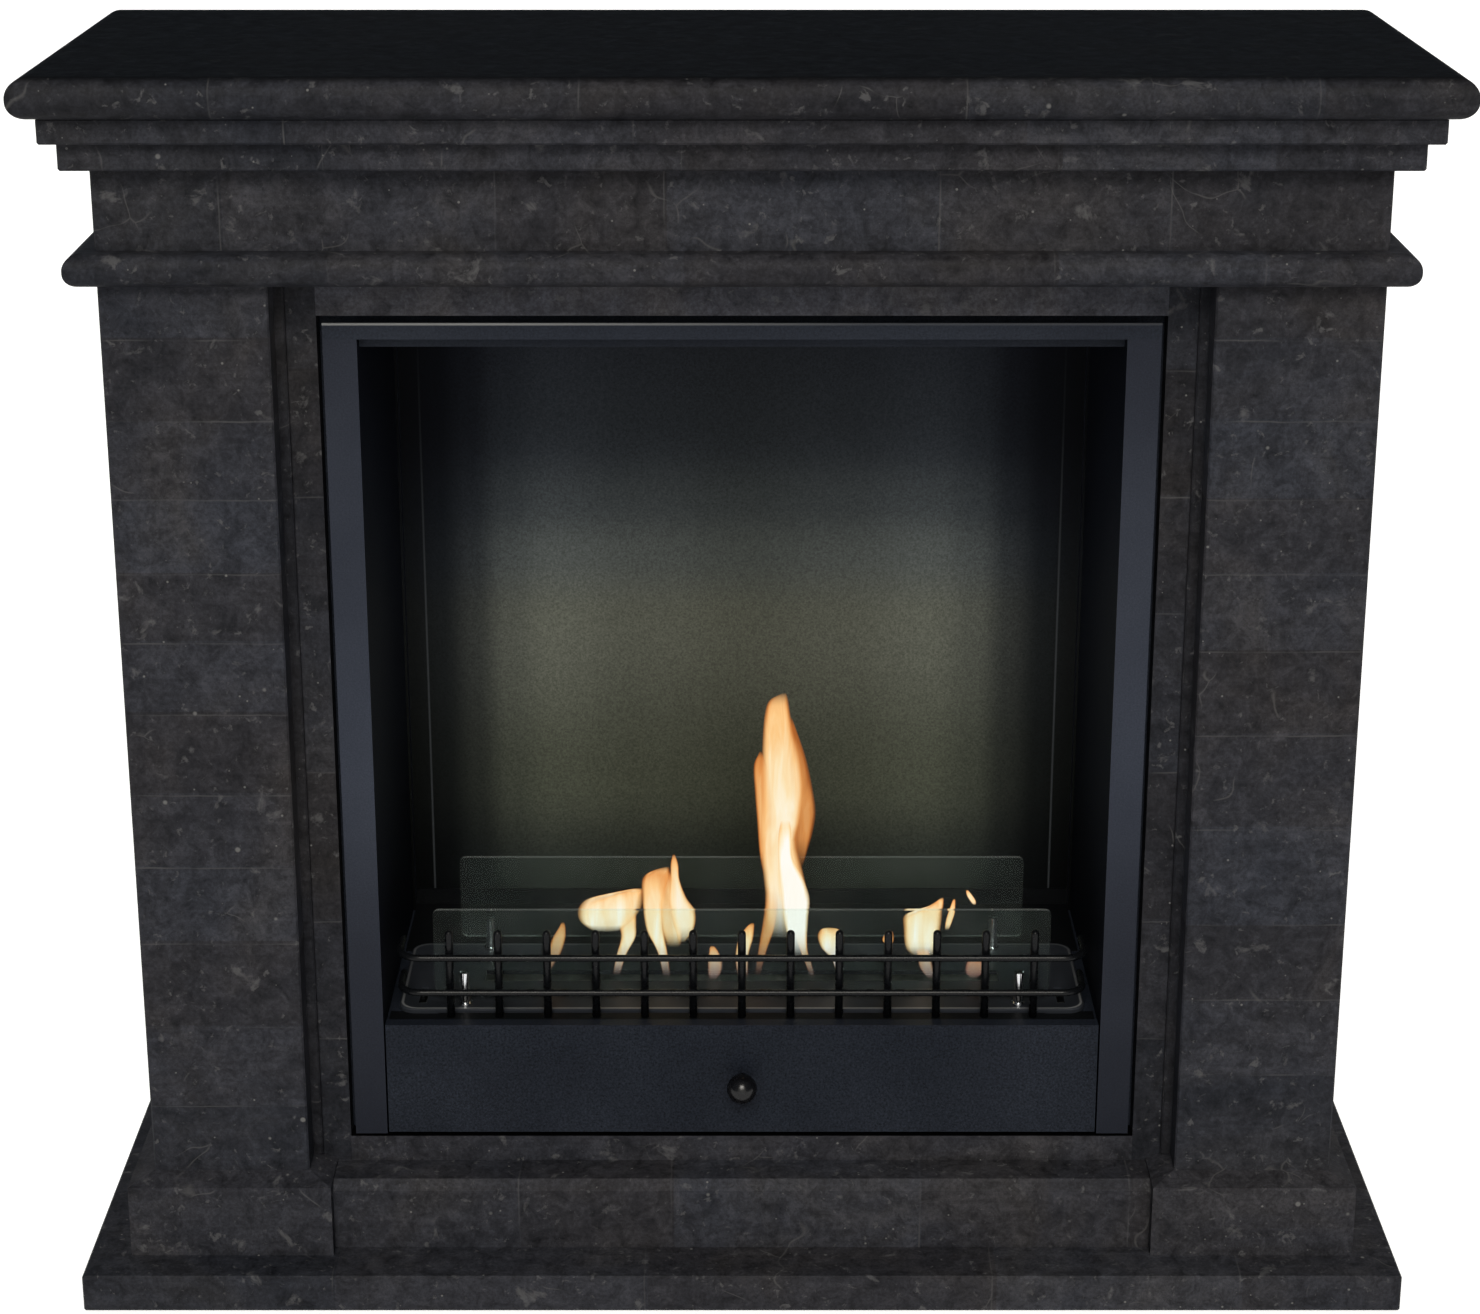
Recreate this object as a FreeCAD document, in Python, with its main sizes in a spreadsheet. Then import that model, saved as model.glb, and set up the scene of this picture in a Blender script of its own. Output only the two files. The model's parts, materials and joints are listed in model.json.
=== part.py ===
import FreeCAD, Part
import math
import operator
import os
import Sketcher
from types import SimpleNamespace

# Driving dimensions in millimetres. X runs across the front, +Y goes into the wall, +Z is up.
DIMENSIONS = {
    # Surround: the legs and the frieze share one face, and each moulding projects from it.
    "body_width": 1000,
    "body_depth": 350,
    "arris": 1.5,
    "base_height": 33,
    "base_projection": 56,
    "plinth_face_height": 64,
    "plinth_slope_height": 7,
    "plinth_projection": 20,
    "pilaster_width": 132,
    "pilaster_thickness": 35,
    "pilaster_height": 766,
    "side_thickness": 20,
    "bead_height": 26,
    "bead_projection": 22,
    "bead_flat": 2,
    "frieze_height": 65,
    "frieze_thickness": 30,
    "cornice_lower_height": 22,
    "cornice_lower_projection": 20,
    "cornice_upper_height": 20,
    "cornice_upper_projection": 32,
    "shelf_height": 32,
    "shelf_projection": 50,
    "shelf_flat": 2,
    "rail_projection": 6,
    "rail_depth": 70,
    "rail_height": 62,
    "rail_slope_depth": 7,
    "rail_slope_height": 8,
    "slip_thickness": 20,
    "slip_overlap": 32,
    "slip_side_reveal": 32,
    "slip_top_reveal": 33,
    "strip_width": 8,
    "strip_thickness": 6,
    # Firebox of folded sheet, fitted between the slips and standing on two channels behind the bottom rail.
    "sheet": 2,
    "fit_gap": 5,
    "frame_lap": 10,
    "wall_gap": 43,
    "support_height": 90,
    "support_width": 40,
    "support_inset": 34,
    "support_sheet": 3,
    "support_setback": 8,
    "firebox_proud": 5,
    "side_flange": 27,
    "top_flange": 13,
    "back_fold": 12,
    "lip_drop": 9,
    "lip_setback": 14,
    "deck_level": 97,
    "deck_gap": 2,
    "deck_lip": 15,
    "deck_upstand": 15,
    "angle_leg": 15,
    "angle_gap": 1,
    # Drawer under the burner.
    "drawer_play": 1.5,
    "drawer_front_rise": 1,
    "drawer_fold": 10,
    "drawer_depth": 200,
    "drawer_side_height": 30,
    "drawer_side_play": 4,
    "drawer_sheet": 1.5,
    "runner_raise": 2,
    "runner_leg": 20,
    "running_gap": 0.3,
    "knob_diameter": 26,
    "knob_neck_diameter": 11,
    "knob_neck_length": 6,
    "knob_bore_depth": 13,
    "screw_diameter": 4,
    "screw_play": 0.1,
    "screw_tip_gap": 3,
    "screw_head_diameter": 8,
    "screw_head_height": 3,
    "screw_hole_play": 0.3,
    # Burner, carried by the deck between the side walls.
    "plate_depth": 140,
    "plate_thickness": 4,
    "plate_corner": 15,
    "plate_end_gap": 9,
    "plate_front_gap": 5,
    "plate_edge": 1,
    "plate_seat": 5,
    "tank_clearance": 6.7,
    "tank_sheet": 1.5,
    "tank_end_gap": 2,
    "flame_slot_inset": 70,
    "flame_slot_width": 22,
    "wool_gap": 8,
    "wool_margin": 12,
    "slider_sheet": 2,
    "slider_lap": 2,
    "slider_front_gap": 2.5,
    "slider_end_play": 3,
    "slider_end_gap": 3.5,
    "slider_arm_depth": 14,
    "hook_hole_diameter": 5,
    "hook_inset": 20,
    "end_slot_width": 7,
    "end_slot_play": 1,
    "guide_width": 8,
    "guide_height": 3,
    "guide_gap": 1.5,
    "guide_post": 4,
    # Wind glasses on slotted posts.
    "glass_thickness": 4,
    "glass_height": 76,
    "glass_raise": 12,
    "glass_corner": 5,
    "glass_edge_margin": 11,
    "front_glass_margin": 31.5,
    "rear_glass_margin": 45,
    "post_inset": 25.5,
    "post_diameter": 9,
    "post_height": 30,
    "post_collar_diameter": 12,
    "post_collar_height": 2,
    "post_slot_play": 0.1,
    # Fire grate of round wire.
    "foot_bar_depth": 14,
    "foot_bar_height": 3,
    "foot_bar_overhang": 11.6,
    "foot_bar_setback": 1,
    "upright_diameter": 7,
    "upright_height": 80,
    "upright_tip": 3,
    "upright_inset": 42.6,
    "rail_wire_diameter": 6,
    "rail_wire_gap": 10,
    "rail_bend": 18,
    "rail_leg": 42,
    "upper_rail_height": 57,
    "lower_rail_height": 25,
    "weld_gap": 0.05,
}
UPRIGHT_COUNT = 13
# The knob's ball is turned in straight steps, from the end of its neck to its front.
BALL_START_DEGREES = 30
BALL_STEPS = 3

doc = FreeCAD.newDocument("fireplace")
sheet = doc.addObject("Spreadsheet::Sheet", "Sizes")
for row, (alias, number) in enumerate(DIMENSIONS.items(), start=1):
    sheet.set(f"A{row}", alias)
    sheet.set(f"B{row}", str(number))
    sheet.setAlias(f"B{row}", alias)
doc.recompute()

OPERATIONS = {"+": operator.add, "-": operator.sub, "*": operator.mul, "/": operator.truediv}
PLANES = {"X": "YZ_Plane", "Y": "XZ_Plane", "Z": "XY_Plane"}
LEFT_RIGHT = (("left", -1), ("right", 1))
TOUCH = 0.01
parts = []


class Size:
    """A length and the sheet formula that drives it."""

    def __init__(self, value, formula):
        self.value = value
        self.formula = formula

    def __add__(self, other):
        return combine(self, "+", other)

    def __sub__(self, other):
        return combine(self, "-", other)

    def __mul__(self, other):
        return combine(self, "*", other)

    def __truediv__(self, other):
        return combine(self, "/", other)

    def __neg__(self):
        return combine(-1, "*", self)


def as_size(number):
    """Give a plain number the form of a sheet length."""
    if isinstance(number, Size):
        return number
    return Size(float(number), str(number))


def combine(left, sign, right):
    """Work out a length and its formula from two others."""
    left = as_size(left)
    right = as_size(right)
    value = OPERATIONS[sign](left.value, right.value)
    return Size(value, f"({left.formula} {sign} {right.formula})")


def bind(item, path, size):
    """Drive one property of a document object from the sheet."""
    item.setExpression(path, as_size(size).formula)


def place(item, x, y, z):
    """Drive an object's position from the sheet."""
    for letter, size in (("x", x), ("y", y), ("z", z)):
        bind(item, f"Placement.Base.{letter}", size)


def new_body(label):
    """Start a sub-part made of sketches and features."""
    body = doc.addObject("PartDesign::Body", label)
    body.Label = label
    body.AllowCompound = True
    parts.append(body)
    return body


def new_sketch(body, axis, level):
    """A sketch seen along one axis, at a level on that axis."""
    sketch = body.newObject("Sketcher::SketchObject", f"{body.Label}_sketch")
    plane = [item for item in body.Origin.OriginFeatures if item.Role == PLANES[axis]][0]
    sketch.AttachmentSupport = [(plane, "")]
    sketch.MapMode = "FlatFace"
    # The plane seen along Y has its normal towards -Y.
    bind(sketch, "AttachmentOffset.Base.z", -as_size(level) if axis == "Y" else level)
    return sketch


def pin_point(sketch, geometry, point, u, v):
    """Hold one point of a sketch at two driven distances from the sketch's origin."""
    for kind, axis, size in (("DistanceX", -2, as_size(u)), ("DistanceY", -1, as_size(v))):
        if size.value == 0:
            sketch.addConstraint(Sketcher.Constraint("PointOnObject", geometry, point, axis))
        else:
            index = sketch.addConstraint(Sketcher.Constraint(kind, -1, 1, geometry, point, size.value))
            bind(sketch, f"Constraints[{index}]", size)


def draw_polygon(sketch, points):
    """Draw a closed outline of straight lines through driven points."""
    first = sketch.GeometryCount
    corners = [FreeCAD.Vector(as_size(u).value, as_size(v).value, 0) for u, v in points]
    count = len(corners)
    for index in range(count):
        sketch.addGeometry(Part.LineSegment(corners[index], corners[(index + 1) % count]), False)
    for index in range(count):
        following = first + (index + 1) % count
        sketch.addConstraint(Sketcher.Constraint("Coincident", first + index, 2, following, 1))
    for index, (u, v) in enumerate(points):
        pin_point(sketch, first + index, 1, u, v)


def draw_circle(sketch, u, v, diameter):
    """Draw a circle with a driven centre and diameter."""
    radius = as_size(diameter) / 2
    centre = FreeCAD.Vector(as_size(u).value, as_size(v).value, 0)
    circle = sketch.addGeometry(Part.Circle(centre, FreeCAD.Vector(0, 0, 1), radius.value), False)
    pin_point(sketch, circle, 3, u, v)
    index = sketch.addConstraint(Sketcher.Constraint("Radius", circle, radius.value))
    bind(sketch, f"Constraints[{index}]", radius)


def rectangle(u_low, u_high, v_low, v_high):
    """Corners of a rectangle, counter-clockwise."""
    return [(u_low, v_low), (u_high, v_low), (u_high, v_high), (u_low, v_high)]


def add_pad(body, axis, outline, start, end):
    """Add an outline, seen along one axis, from start to end on that axis."""
    sketch = new_sketch(body, axis, end if axis == "Y" else start)
    draw_polygon(sketch, outline)
    pad = body.newObject("PartDesign::Pad", f"{body.Label}_pad")
    pad.Profile = sketch
    bind(pad, "Length", as_size(end) - start)
    return pad


def finish_pocket(body, sketch, length):
    """Cut a sketch into its body and make sure that material is removed."""
    doc.recompute()
    volume_before = body.Shape.Volume
    pocket = body.newObject("PartDesign::Pocket", f"{body.Label}_pocket")
    pocket.Profile = sketch
    bind(pocket, "Length", length)
    doc.recompute()
    if body.Shape.Volume > volume_before - TOUCH:
        raise RuntimeError(f"a pocket of {body.Label} cuts nothing")


def add_pocket(body, axis, outline, start, end):
    """Cut an outline, seen along one axis, from start to end on that axis."""
    sketch = new_sketch(body, axis, start if axis == "Y" else end)
    draw_polygon(sketch, outline)
    finish_pocket(body, sketch, as_size(end) - start)


def prism(label, axis, outline, start, end):
    """A sub-part with one section all along an axis."""
    body = new_body(label)
    add_pad(body, axis, outline, start, end)
    return body


def turned(label, outline):
    """A sub-part turned about its own Z axis from an outline of (radius, height) points."""
    body = new_body(label)
    sketch = new_sketch(body, "Y", 0)
    draw_polygon(sketch, outline)
    turning = body.newObject("PartDesign::Revolution", f"{body.Label}_turning")
    turning.Profile = sketch
    turning.ReferenceAxis = (sketch, ["V_Axis"])
    turning.Angle = 360
    return body, sketch


def repeat_along_x(body, sketch, length, count):
    """Repeat a whole body in a row along X."""
    doc.recompute()
    row = body.newObject("PartDesign::LinearPattern", f"{body.Label}_row")
    row.TransformMode = "Whole shape"
    row.Direction = (sketch, ["H_Axis"])
    bind(row, "Length", length)
    row.Occurrences = count
    body.Tip = row


def dress_edges(body, kind, size, choose):
    """Round or bevel the edges that choose picks."""
    doc.recompute()
    base = body.Tip
    names = [f"Edge{i}" for i, edge in enumerate(base.Shape.Edges, start=1) if choose(edge)]
    dressing = body.newObject(f"PartDesign::{kind}", f"{body.Label}_edges")
    dressing.Base = (base, names)
    bind(dressing, "Radius" if kind == "Fillet" else "Size", size)


def is_vertical(edge):
    """True for an edge that runs along Z."""
    return edge.BoundBox.ZLength > edge.BoundBox.XLength + edge.BoundBox.YLength


def is_at_height(edge, height):
    """True for an edge that lies flat at a height."""
    return abs(edge.CenterOfMass.z - height.value) < TOUCH and edge.BoundBox.ZLength < TOUCH


# Shared planes and levels of the surround.
d = SimpleNamespace(**{name: Size(float(sheet.get(name)), f"Sizes.{name}") for name in DIMENSIONS})
back = (d.body_depth + d.base_projection) / 2
face = back - d.body_depth
half_body = d.body_width / 2
pilaster_inner = half_body - d.pilaster_width
plinth_inner = pilaster_inner - d.plinth_projection
slip_face = face + d.pilaster_thickness
slip_back = slip_face + d.slip_thickness
plinth_top = d.base_height + d.plinth_face_height
leg_foot = plinth_top + d.plinth_slope_height
leg_top = leg_foot + d.pilaster_height
frieze_foot = leg_top + d.bead_height
cornice_foot = frieze_foot + d.frieze_height
fascia_foot = cornice_foot + d.cornice_lower_height
shelf_foot = fascia_foot + d.cornice_upper_height
rail_top = d.base_height + d.rail_height

# Shared planes and levels of the firebox and its deck.
box_foot = d.base_height + d.support_height
box_top = leg_top - d.slip_top_reveal - d.fit_gap
box_front = slip_face - d.firebox_proud
box_back = back - d.wall_gap
half_box = pilaster_inner - d.slip_side_reveal - d.fit_gap
half_inside = half_box - d.side_flange
wall_front = box_front + d.sheet
wall_back = box_back - d.sheet
fold_start = wall_back - d.back_fold - d.running_gap
wall_top = box_top - d.top_flange
floor_top = box_foot + d.sheet
deck_top = box_foot + d.deck_level
deck_under = deck_top - d.sheet
deck_edge = wall_front + d.drawer_fold + d.deck_gap
angle_front = deck_edge + d.sheet + d.angle_gap

# Shared planes and levels of the grate, the drawer and the burner.
bar_front = deck_edge + d.foot_bar_setback
bar_back = bar_front + d.foot_bar_depth
tray_foot = floor_top + d.runner_raise + d.sheet + d.running_gap
tray_top = tray_foot + d.drawer_side_height
plate_front = bar_back + d.plate_front_gap
plate_back = plate_front + d.plate_depth
plate_top = deck_top + d.plate_thickness
half_plate = half_inside - d.plate_end_gap
tank_front = plate_front + d.plate_seat
tank_back = plate_back - d.plate_seat - d.running_gap


def across(side, near, far):
    """The span between two distances from the middle, on the left (-1) or the right (1)."""
    low, high = (near, far) if side > 0 else (far, near)
    return as_size(low) * side, as_size(high) * side


def wrapping_slab(label, projection, bottom, height):
    """A slab that projects from the face of the surround at the front and both sides."""
    half = half_body + projection
    outline = rectangle(-half, half, face - projection, back)
    return prism(label, "Z", outline, bottom, bottom + height)


def is_open_edge(edge):
    """True for an edge of a slab that doesn't lie in the wall plane."""
    return edge.BoundBox.YMin < back.value - TOUCH


def is_open_rim(edge):
    """True for a level edge of a slab that doesn't lie in the wall plane."""
    return is_open_edge(edge) and not is_vertical(edge)


def make_mouldings():
    """Base slab, bead, cornice steps and shelf, stacked from the floor up."""
    base = wrapping_slab("base_slab", d.base_projection, as_size(0), d.base_height)
    dress_edges(base, "Chamfer", d.arris, is_open_edge)
    bead = wrapping_slab("bead_moulding", d.bead_projection, leg_top, d.bead_height)
    dress_edges(bead, "Fillet", (d.bead_height - d.bead_flat) / 2, is_open_rim)
    lower = wrapping_slab("cornice_lower", d.cornice_lower_projection, cornice_foot, d.cornice_lower_height)
    dress_edges(lower, "Chamfer", d.arris, is_open_edge)
    upper = wrapping_slab("cornice_upper", d.cornice_upper_projection, fascia_foot, d.cornice_upper_height)
    dress_edges(upper, "Chamfer", d.arris, is_open_edge)
    shelf = wrapping_slab("mantel_shelf", d.shelf_projection, shelf_foot, d.shelf_height)
    dress_edges(shelf, "Fillet", (d.shelf_height - d.shelf_flat) / 2, is_open_rim)


def make_plinth(side, name):
    """Front block with its top sloped on three sides, and the same section along the side of the leg."""
    outer = half_body + d.plinth_projection
    footprint = rectangle(*across(side, plinth_inner, outer), face - d.plinth_projection, slip_face)
    block = prism(f"plinth_{name}", "Z", footprint, d.base_height, plinth_top)
    low = new_sketch(block, "Z", plinth_top)
    draw_polygon(low, footprint)
    high = new_sketch(block, "Z", leg_foot)
    draw_polygon(high, rectangle(*across(side, pilaster_inner, half_body), face, slip_face))
    slope = block.newObject("PartDesign::AdditiveLoft", f"{block.Label}_slope")
    slope.Profile = low
    slope.Sections = [high]
    slope.Ruled = True
    inside = half_body - d.side_thickness
    section = [
        (inside * side, d.base_height),
        (outer * side, d.base_height),
        (outer * side, plinth_top),
        (half_body * side, leg_foot),
        (inside * side, leg_foot),
    ]
    prism(f"side_plinth_{name}", "Y", section, slip_face, back)


def make_leg(side, name):
    """Pilaster slab with eased front corners, the side slab behind it and the strip in its inner corner."""
    eased = face + d.arris
    outline = [
        (pilaster_inner * side, slip_face),
        (half_body * side, slip_face),
        (half_body * side, eased),
        ((half_body - d.arris) * side, face),
        ((pilaster_inner + d.arris) * side, face),
        (pilaster_inner * side, eased),
    ]
    prism(f"pilaster_{name}", "Z", outline, leg_foot, leg_top)
    inside = half_body - d.side_thickness
    slab = rectangle(*across(side, inside, half_body), slip_face, back)
    prism(f"side_panel_{name}", "Z", slab, leg_foot, leg_top)
    strip_inner = pilaster_inner - d.strip_width
    strip_face = slip_face - d.strip_thickness
    strip = [
        (pilaster_inner * side, slip_face),
        (strip_inner * side, slip_face),
        (strip_inner * side, strip_face + d.arris),
        ((strip_inner + d.arris) * side, strip_face),
        (pilaster_inner * side, strip_face),
    ]
    prism(f"corner_strip_{name}", "Z", strip, leg_foot, leg_top)


def make_frieze():
    """Frieze slab across the front and a return along each side."""
    frieze_back = face + d.frieze_thickness
    eased = face + d.arris
    outline = [
        (-half_body, frieze_back),
        (-half_body, eased),
        (d.arris - half_body, face),
        (half_body - d.arris, face),
        (half_body, eased),
        (half_body, frieze_back),
    ]
    prism("frieze_front", "Z", outline, frieze_foot, cornice_foot)
    inside = half_body - d.frieze_thickness
    for name, side in LEFT_RIGHT:
        outline = rectangle(*across(side, inside, half_body), frieze_back, back)
        prism(f"frieze_return_{name}", "Z", outline, frieze_foot, cornice_foot)


def make_slips():
    """Bottom rail and the four recessed slips round the firebox."""
    rail_front = face - d.rail_projection
    rail_back = rail_front + d.rail_depth
    rail_section = [
        (rail_front, d.base_height),
        (rail_back, d.base_height),
        (rail_back, rail_top),
        (rail_front + d.rail_slope_depth, rail_top),
        (rail_front, rail_top - d.rail_slope_height),
    ]
    prism("bottom_rail", "X", rail_section, -plinth_inner, plinth_inner)
    half_opening = half_box + d.fit_gap
    slip_outer = pilaster_inner + d.slip_overlap
    for name, side in LEFT_RIGHT:
        outline = rectangle(*across(side, half_opening, slip_outer), slip_face, slip_back)
        prism(f"slip_{name}", "Z", outline, rail_top, leg_top)
    outline = rectangle(-half_opening, half_opening, slip_face, slip_back)
    prism("slip_bottom", "Z", outline, rail_top, box_foot - d.fit_gap)
    prism("slip_top", "Z", outline, box_top + d.fit_gap, leg_top)
    make_fixing_frame(half_opening)


def make_fixing_frame(half_opening):
    """Sheet frame behind the slips that closes the gap round the firebox."""
    half_frame = half_opening + d.frame_lap
    frame_foot = box_foot - d.fit_gap - d.frame_lap
    frame_top = box_top + d.fit_gap + d.frame_lap
    frame_back = slip_back + d.sheet
    outline = rectangle(-half_frame, half_frame, frame_foot, frame_top)
    frame = prism("fixing_frame", "Y", outline, slip_back, frame_back)
    half_hole = half_inside + d.sheet + d.running_gap
    hole_top = wall_top + d.sheet + d.running_gap
    hole = rectangle(-half_hole, half_hole, box_foot - d.running_gap, hole_top)
    add_pocket(frame, "Y", hole, slip_back, frame_back)


def make_firebox():
    """Floor, folded back, flanged side walls and flanged top, on two support channels."""
    wall_outer = half_inside + d.sheet
    for name, side in LEFT_RIGHT:
        section = [
            (half_inside * side, box_front),
            (half_box * side, box_front),
            (half_box * side, wall_front),
            (wall_outer * side, wall_front),
            (wall_outer * side, wall_back),
            (half_inside * side, wall_back),
        ]
        prism(f"firebox_side_{name}", "Z", section, box_foot, wall_top)
    fold_inner = half_inside - d.sheet
    fold_front = wall_back - d.back_fold
    right_half = [
        (fold_inner, wall_back),
        (fold_inner, fold_front),
        (half_inside, fold_front),
        (half_inside, wall_back),
        (wall_outer, wall_back),
        (wall_outer, box_back),
    ]
    left_half = [(-x, y) for x, y in reversed(right_half)]
    prism("firebox_back", "Z", right_half + left_half, box_foot, wall_top)
    floor = rectangle(-half_inside, half_inside, wall_front + d.drawer_fold, fold_start)
    prism("firebox_floor", "Z", floor, box_foot, floor_top)
    top = prism("firebox_top", "X", rectangle(box_front, wall_front, wall_top, box_top), -half_box, half_box)
    cover = rectangle(wall_front, box_back, wall_top, wall_top + d.sheet)
    add_pad(top, "X", cover, -wall_outer, wall_outer)
    lip_front = box_front + d.lip_setback
    lip = rectangle(lip_front, lip_front + d.sheet, wall_top - d.lip_drop, wall_top)
    half_lip = half_inside - d.running_gap
    add_pad(top, "X", lip, -half_lip, half_lip)
    support_front = face - d.rail_projection + d.rail_depth + d.support_setback
    support_back = box_back - d.support_setback
    flange_top = box_foot - d.support_sheet
    flange_foot = d.base_height + d.support_sheet
    far = half_inside - d.support_inset
    near = far - d.support_width
    web = near + d.support_sheet
    for name, side in LEFT_RIGHT:
        channel = [
            (near * side, d.base_height),
            (far * side, d.base_height),
            (far * side, flange_foot),
            (web * side, flange_foot),
            (web * side, flange_top),
            (far * side, flange_top),
            (far * side, box_foot),
            (near * side, box_foot),
        ]
        prism(f"support_channel_{name}", "Y", channel, support_front, support_back)


def angle_section(side, corner, leg, rest):
    """L section on a side wall whose level leg has its upper face at rest."""
    return [
        (corner * side, rest - leg),
        (corner * side, rest),
        ((corner - leg) * side, rest),
        ((corner - leg) * side, rest - d.sheet),
        ((corner - d.sheet) * side, rest - d.sheet),
        ((corner - d.sheet) * side, rest - leg),
    ]


def make_deck():
    """Angles on the side walls and the two deck sheets that carry the grate and the burner."""
    for name, side in LEFT_RIGHT:
        section = angle_section(side, half_inside, d.angle_leg, deck_under)
        prism(f"deck_angle_{name}", "Y", section, angle_front, fold_start)
    half_deck = half_inside - d.sheet - d.running_gap
    deck_front_end = tank_front - d.running_gap
    front_section = [
        (deck_edge, deck_top),
        (deck_edge, deck_top - d.deck_lip),
        (deck_edge + d.sheet, deck_top - d.deck_lip),
        (deck_edge + d.sheet, deck_under),
        (deck_front_end, deck_under),
        (deck_front_end, deck_top),
    ]
    prism("deck_front", "X", front_section, -half_deck, half_deck)
    deck_rear_start = tank_back + d.running_gap
    rear_section = [
        (deck_rear_start, deck_under),
        (wall_back, deck_under),
        (wall_back, deck_top + d.deck_upstand),
        (wall_back - d.sheet, deck_top + d.deck_upstand),
        (wall_back - d.sheet, deck_top),
        (deck_rear_start, deck_top),
    ]
    prism("deck_rear", "X", rear_section, -half_deck, half_deck)


def make_drawer():
    """Runners, the folded front with its screw hole, and the tray."""
    runner_foot = floor_top + d.runner_raise
    rest = runner_foot + d.sheet
    tray_end = wall_front + d.drawer_depth
    for name, side in LEFT_RIGHT:
        runner = [
            (half_inside * side, runner_foot),
            (half_inside * side, runner_foot + d.runner_leg),
            ((half_inside - d.sheet) * side, runner_foot + d.runner_leg),
            ((half_inside - d.sheet) * side, rest),
            ((half_inside - d.runner_leg) * side, rest),
            ((half_inside - d.runner_leg) * side, runner_foot),
        ]
        prism(f"runner_{name}", "Y", runner, angle_front, tray_end)
    foot = box_foot + d.drawer_play
    top = plate_top + d.drawer_front_rise
    fold_end = wall_front + d.drawer_fold - d.running_gap
    front_section = [
        (box_front, foot),
        (fold_end, foot),
        (fold_end, foot + d.sheet),
        (wall_front, foot + d.sheet),
        (wall_front, top - d.sheet),
        (fold_end, top - d.sheet),
        (fold_end, top),
        (box_front, top),
    ]
    half_front = half_inside - d.drawer_play
    front = prism("drawer_front", "X", front_section, -half_front, half_front)
    knob_height = (foot + top) / 2
    hole = new_sketch(front, "Y", box_front)
    draw_circle(hole, 0, knob_height, d.screw_diameter + d.screw_hole_play * 2)
    finish_pocket(front, hole, d.sheet)
    half_tray = half_inside - d.drawer_side_play
    tray_outline = rectangle(-half_tray, half_tray, wall_front, tray_end)
    tray = prism("drawer_tray", "Z", tray_outline, tray_foot, tray_top)
    half_room = half_tray - d.drawer_sheet
    room = rectangle(-half_room, half_room, wall_front + d.drawer_sheet, tray_end - d.drawer_sheet)
    add_pocket(tray, "Z", room, tray_foot + d.drawer_sheet, tray_top)
    make_knob(knob_height)


def cylinder(name, diameter, length, y, z):
    """A round bar that starts at y and runs towards -Y at height z."""
    bar = doc.addObject("Part::Cylinder", name)
    bind(bar, "Radius", as_size(diameter) / 2)
    bind(bar, "Height", length)
    bar.Placement = FreeCAD.Placement(FreeCAD.Vector(), FreeCAD.Rotation(FreeCAD.Vector(1, 0, 0), 90))
    place(bar, 0, y, z)
    return bar


def boolean(kind, label, base, tool):
    """Join or cut two objects."""
    result = doc.addObject(f"Part::{kind}", label)
    result.Label = label
    result.Base = base
    result.Tool = tool
    return result


def make_knob(height):
    """Ball knob with a blind bore, and the screw that holds it through the drawer front."""
    radius = d.knob_diameter / 2
    neck_radius = d.knob_neck_diameter / 2
    bore_radius = d.screw_diameter / 2 + d.screw_play
    ball_middle = d.knob_neck_length + radius
    ball = []
    for step in range(BALL_STEPS + 1):
        turn = math.radians(BALL_START_DEGREES + (180 - BALL_START_DEGREES) * step / BALL_STEPS)
        ball.append((radius * round(math.sin(turn), 6), ball_middle - radius * round(math.cos(turn), 6)))
    shoulder = ball[0][1]
    outline = [(bore_radius, 0), (neck_radius, 0), (neck_radius, shoulder), *ball]
    outline += [(0, d.knob_bore_depth), (bore_radius, d.knob_bore_depth)]
    knob, _ = turned("drawer_knob", outline)
    knob.Placement = FreeCAD.Placement(FreeCAD.Vector(), FreeCAD.Rotation(FreeCAD.Vector(1, 0, 0), 90))
    place(knob, 0, box_front, height)
    head_back = wall_front + d.screw_head_height
    head = cylinder("screw_head", d.screw_head_diameter, d.screw_head_height, head_back, height)
    shank_length = d.sheet + d.knob_bore_depth - d.screw_tip_gap
    shank = cylinder("screw_shank", d.screw_diameter, shank_length, wall_front, height)
    parts.append(boolean("Fuse", "knob_screw", head, shank))


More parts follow.
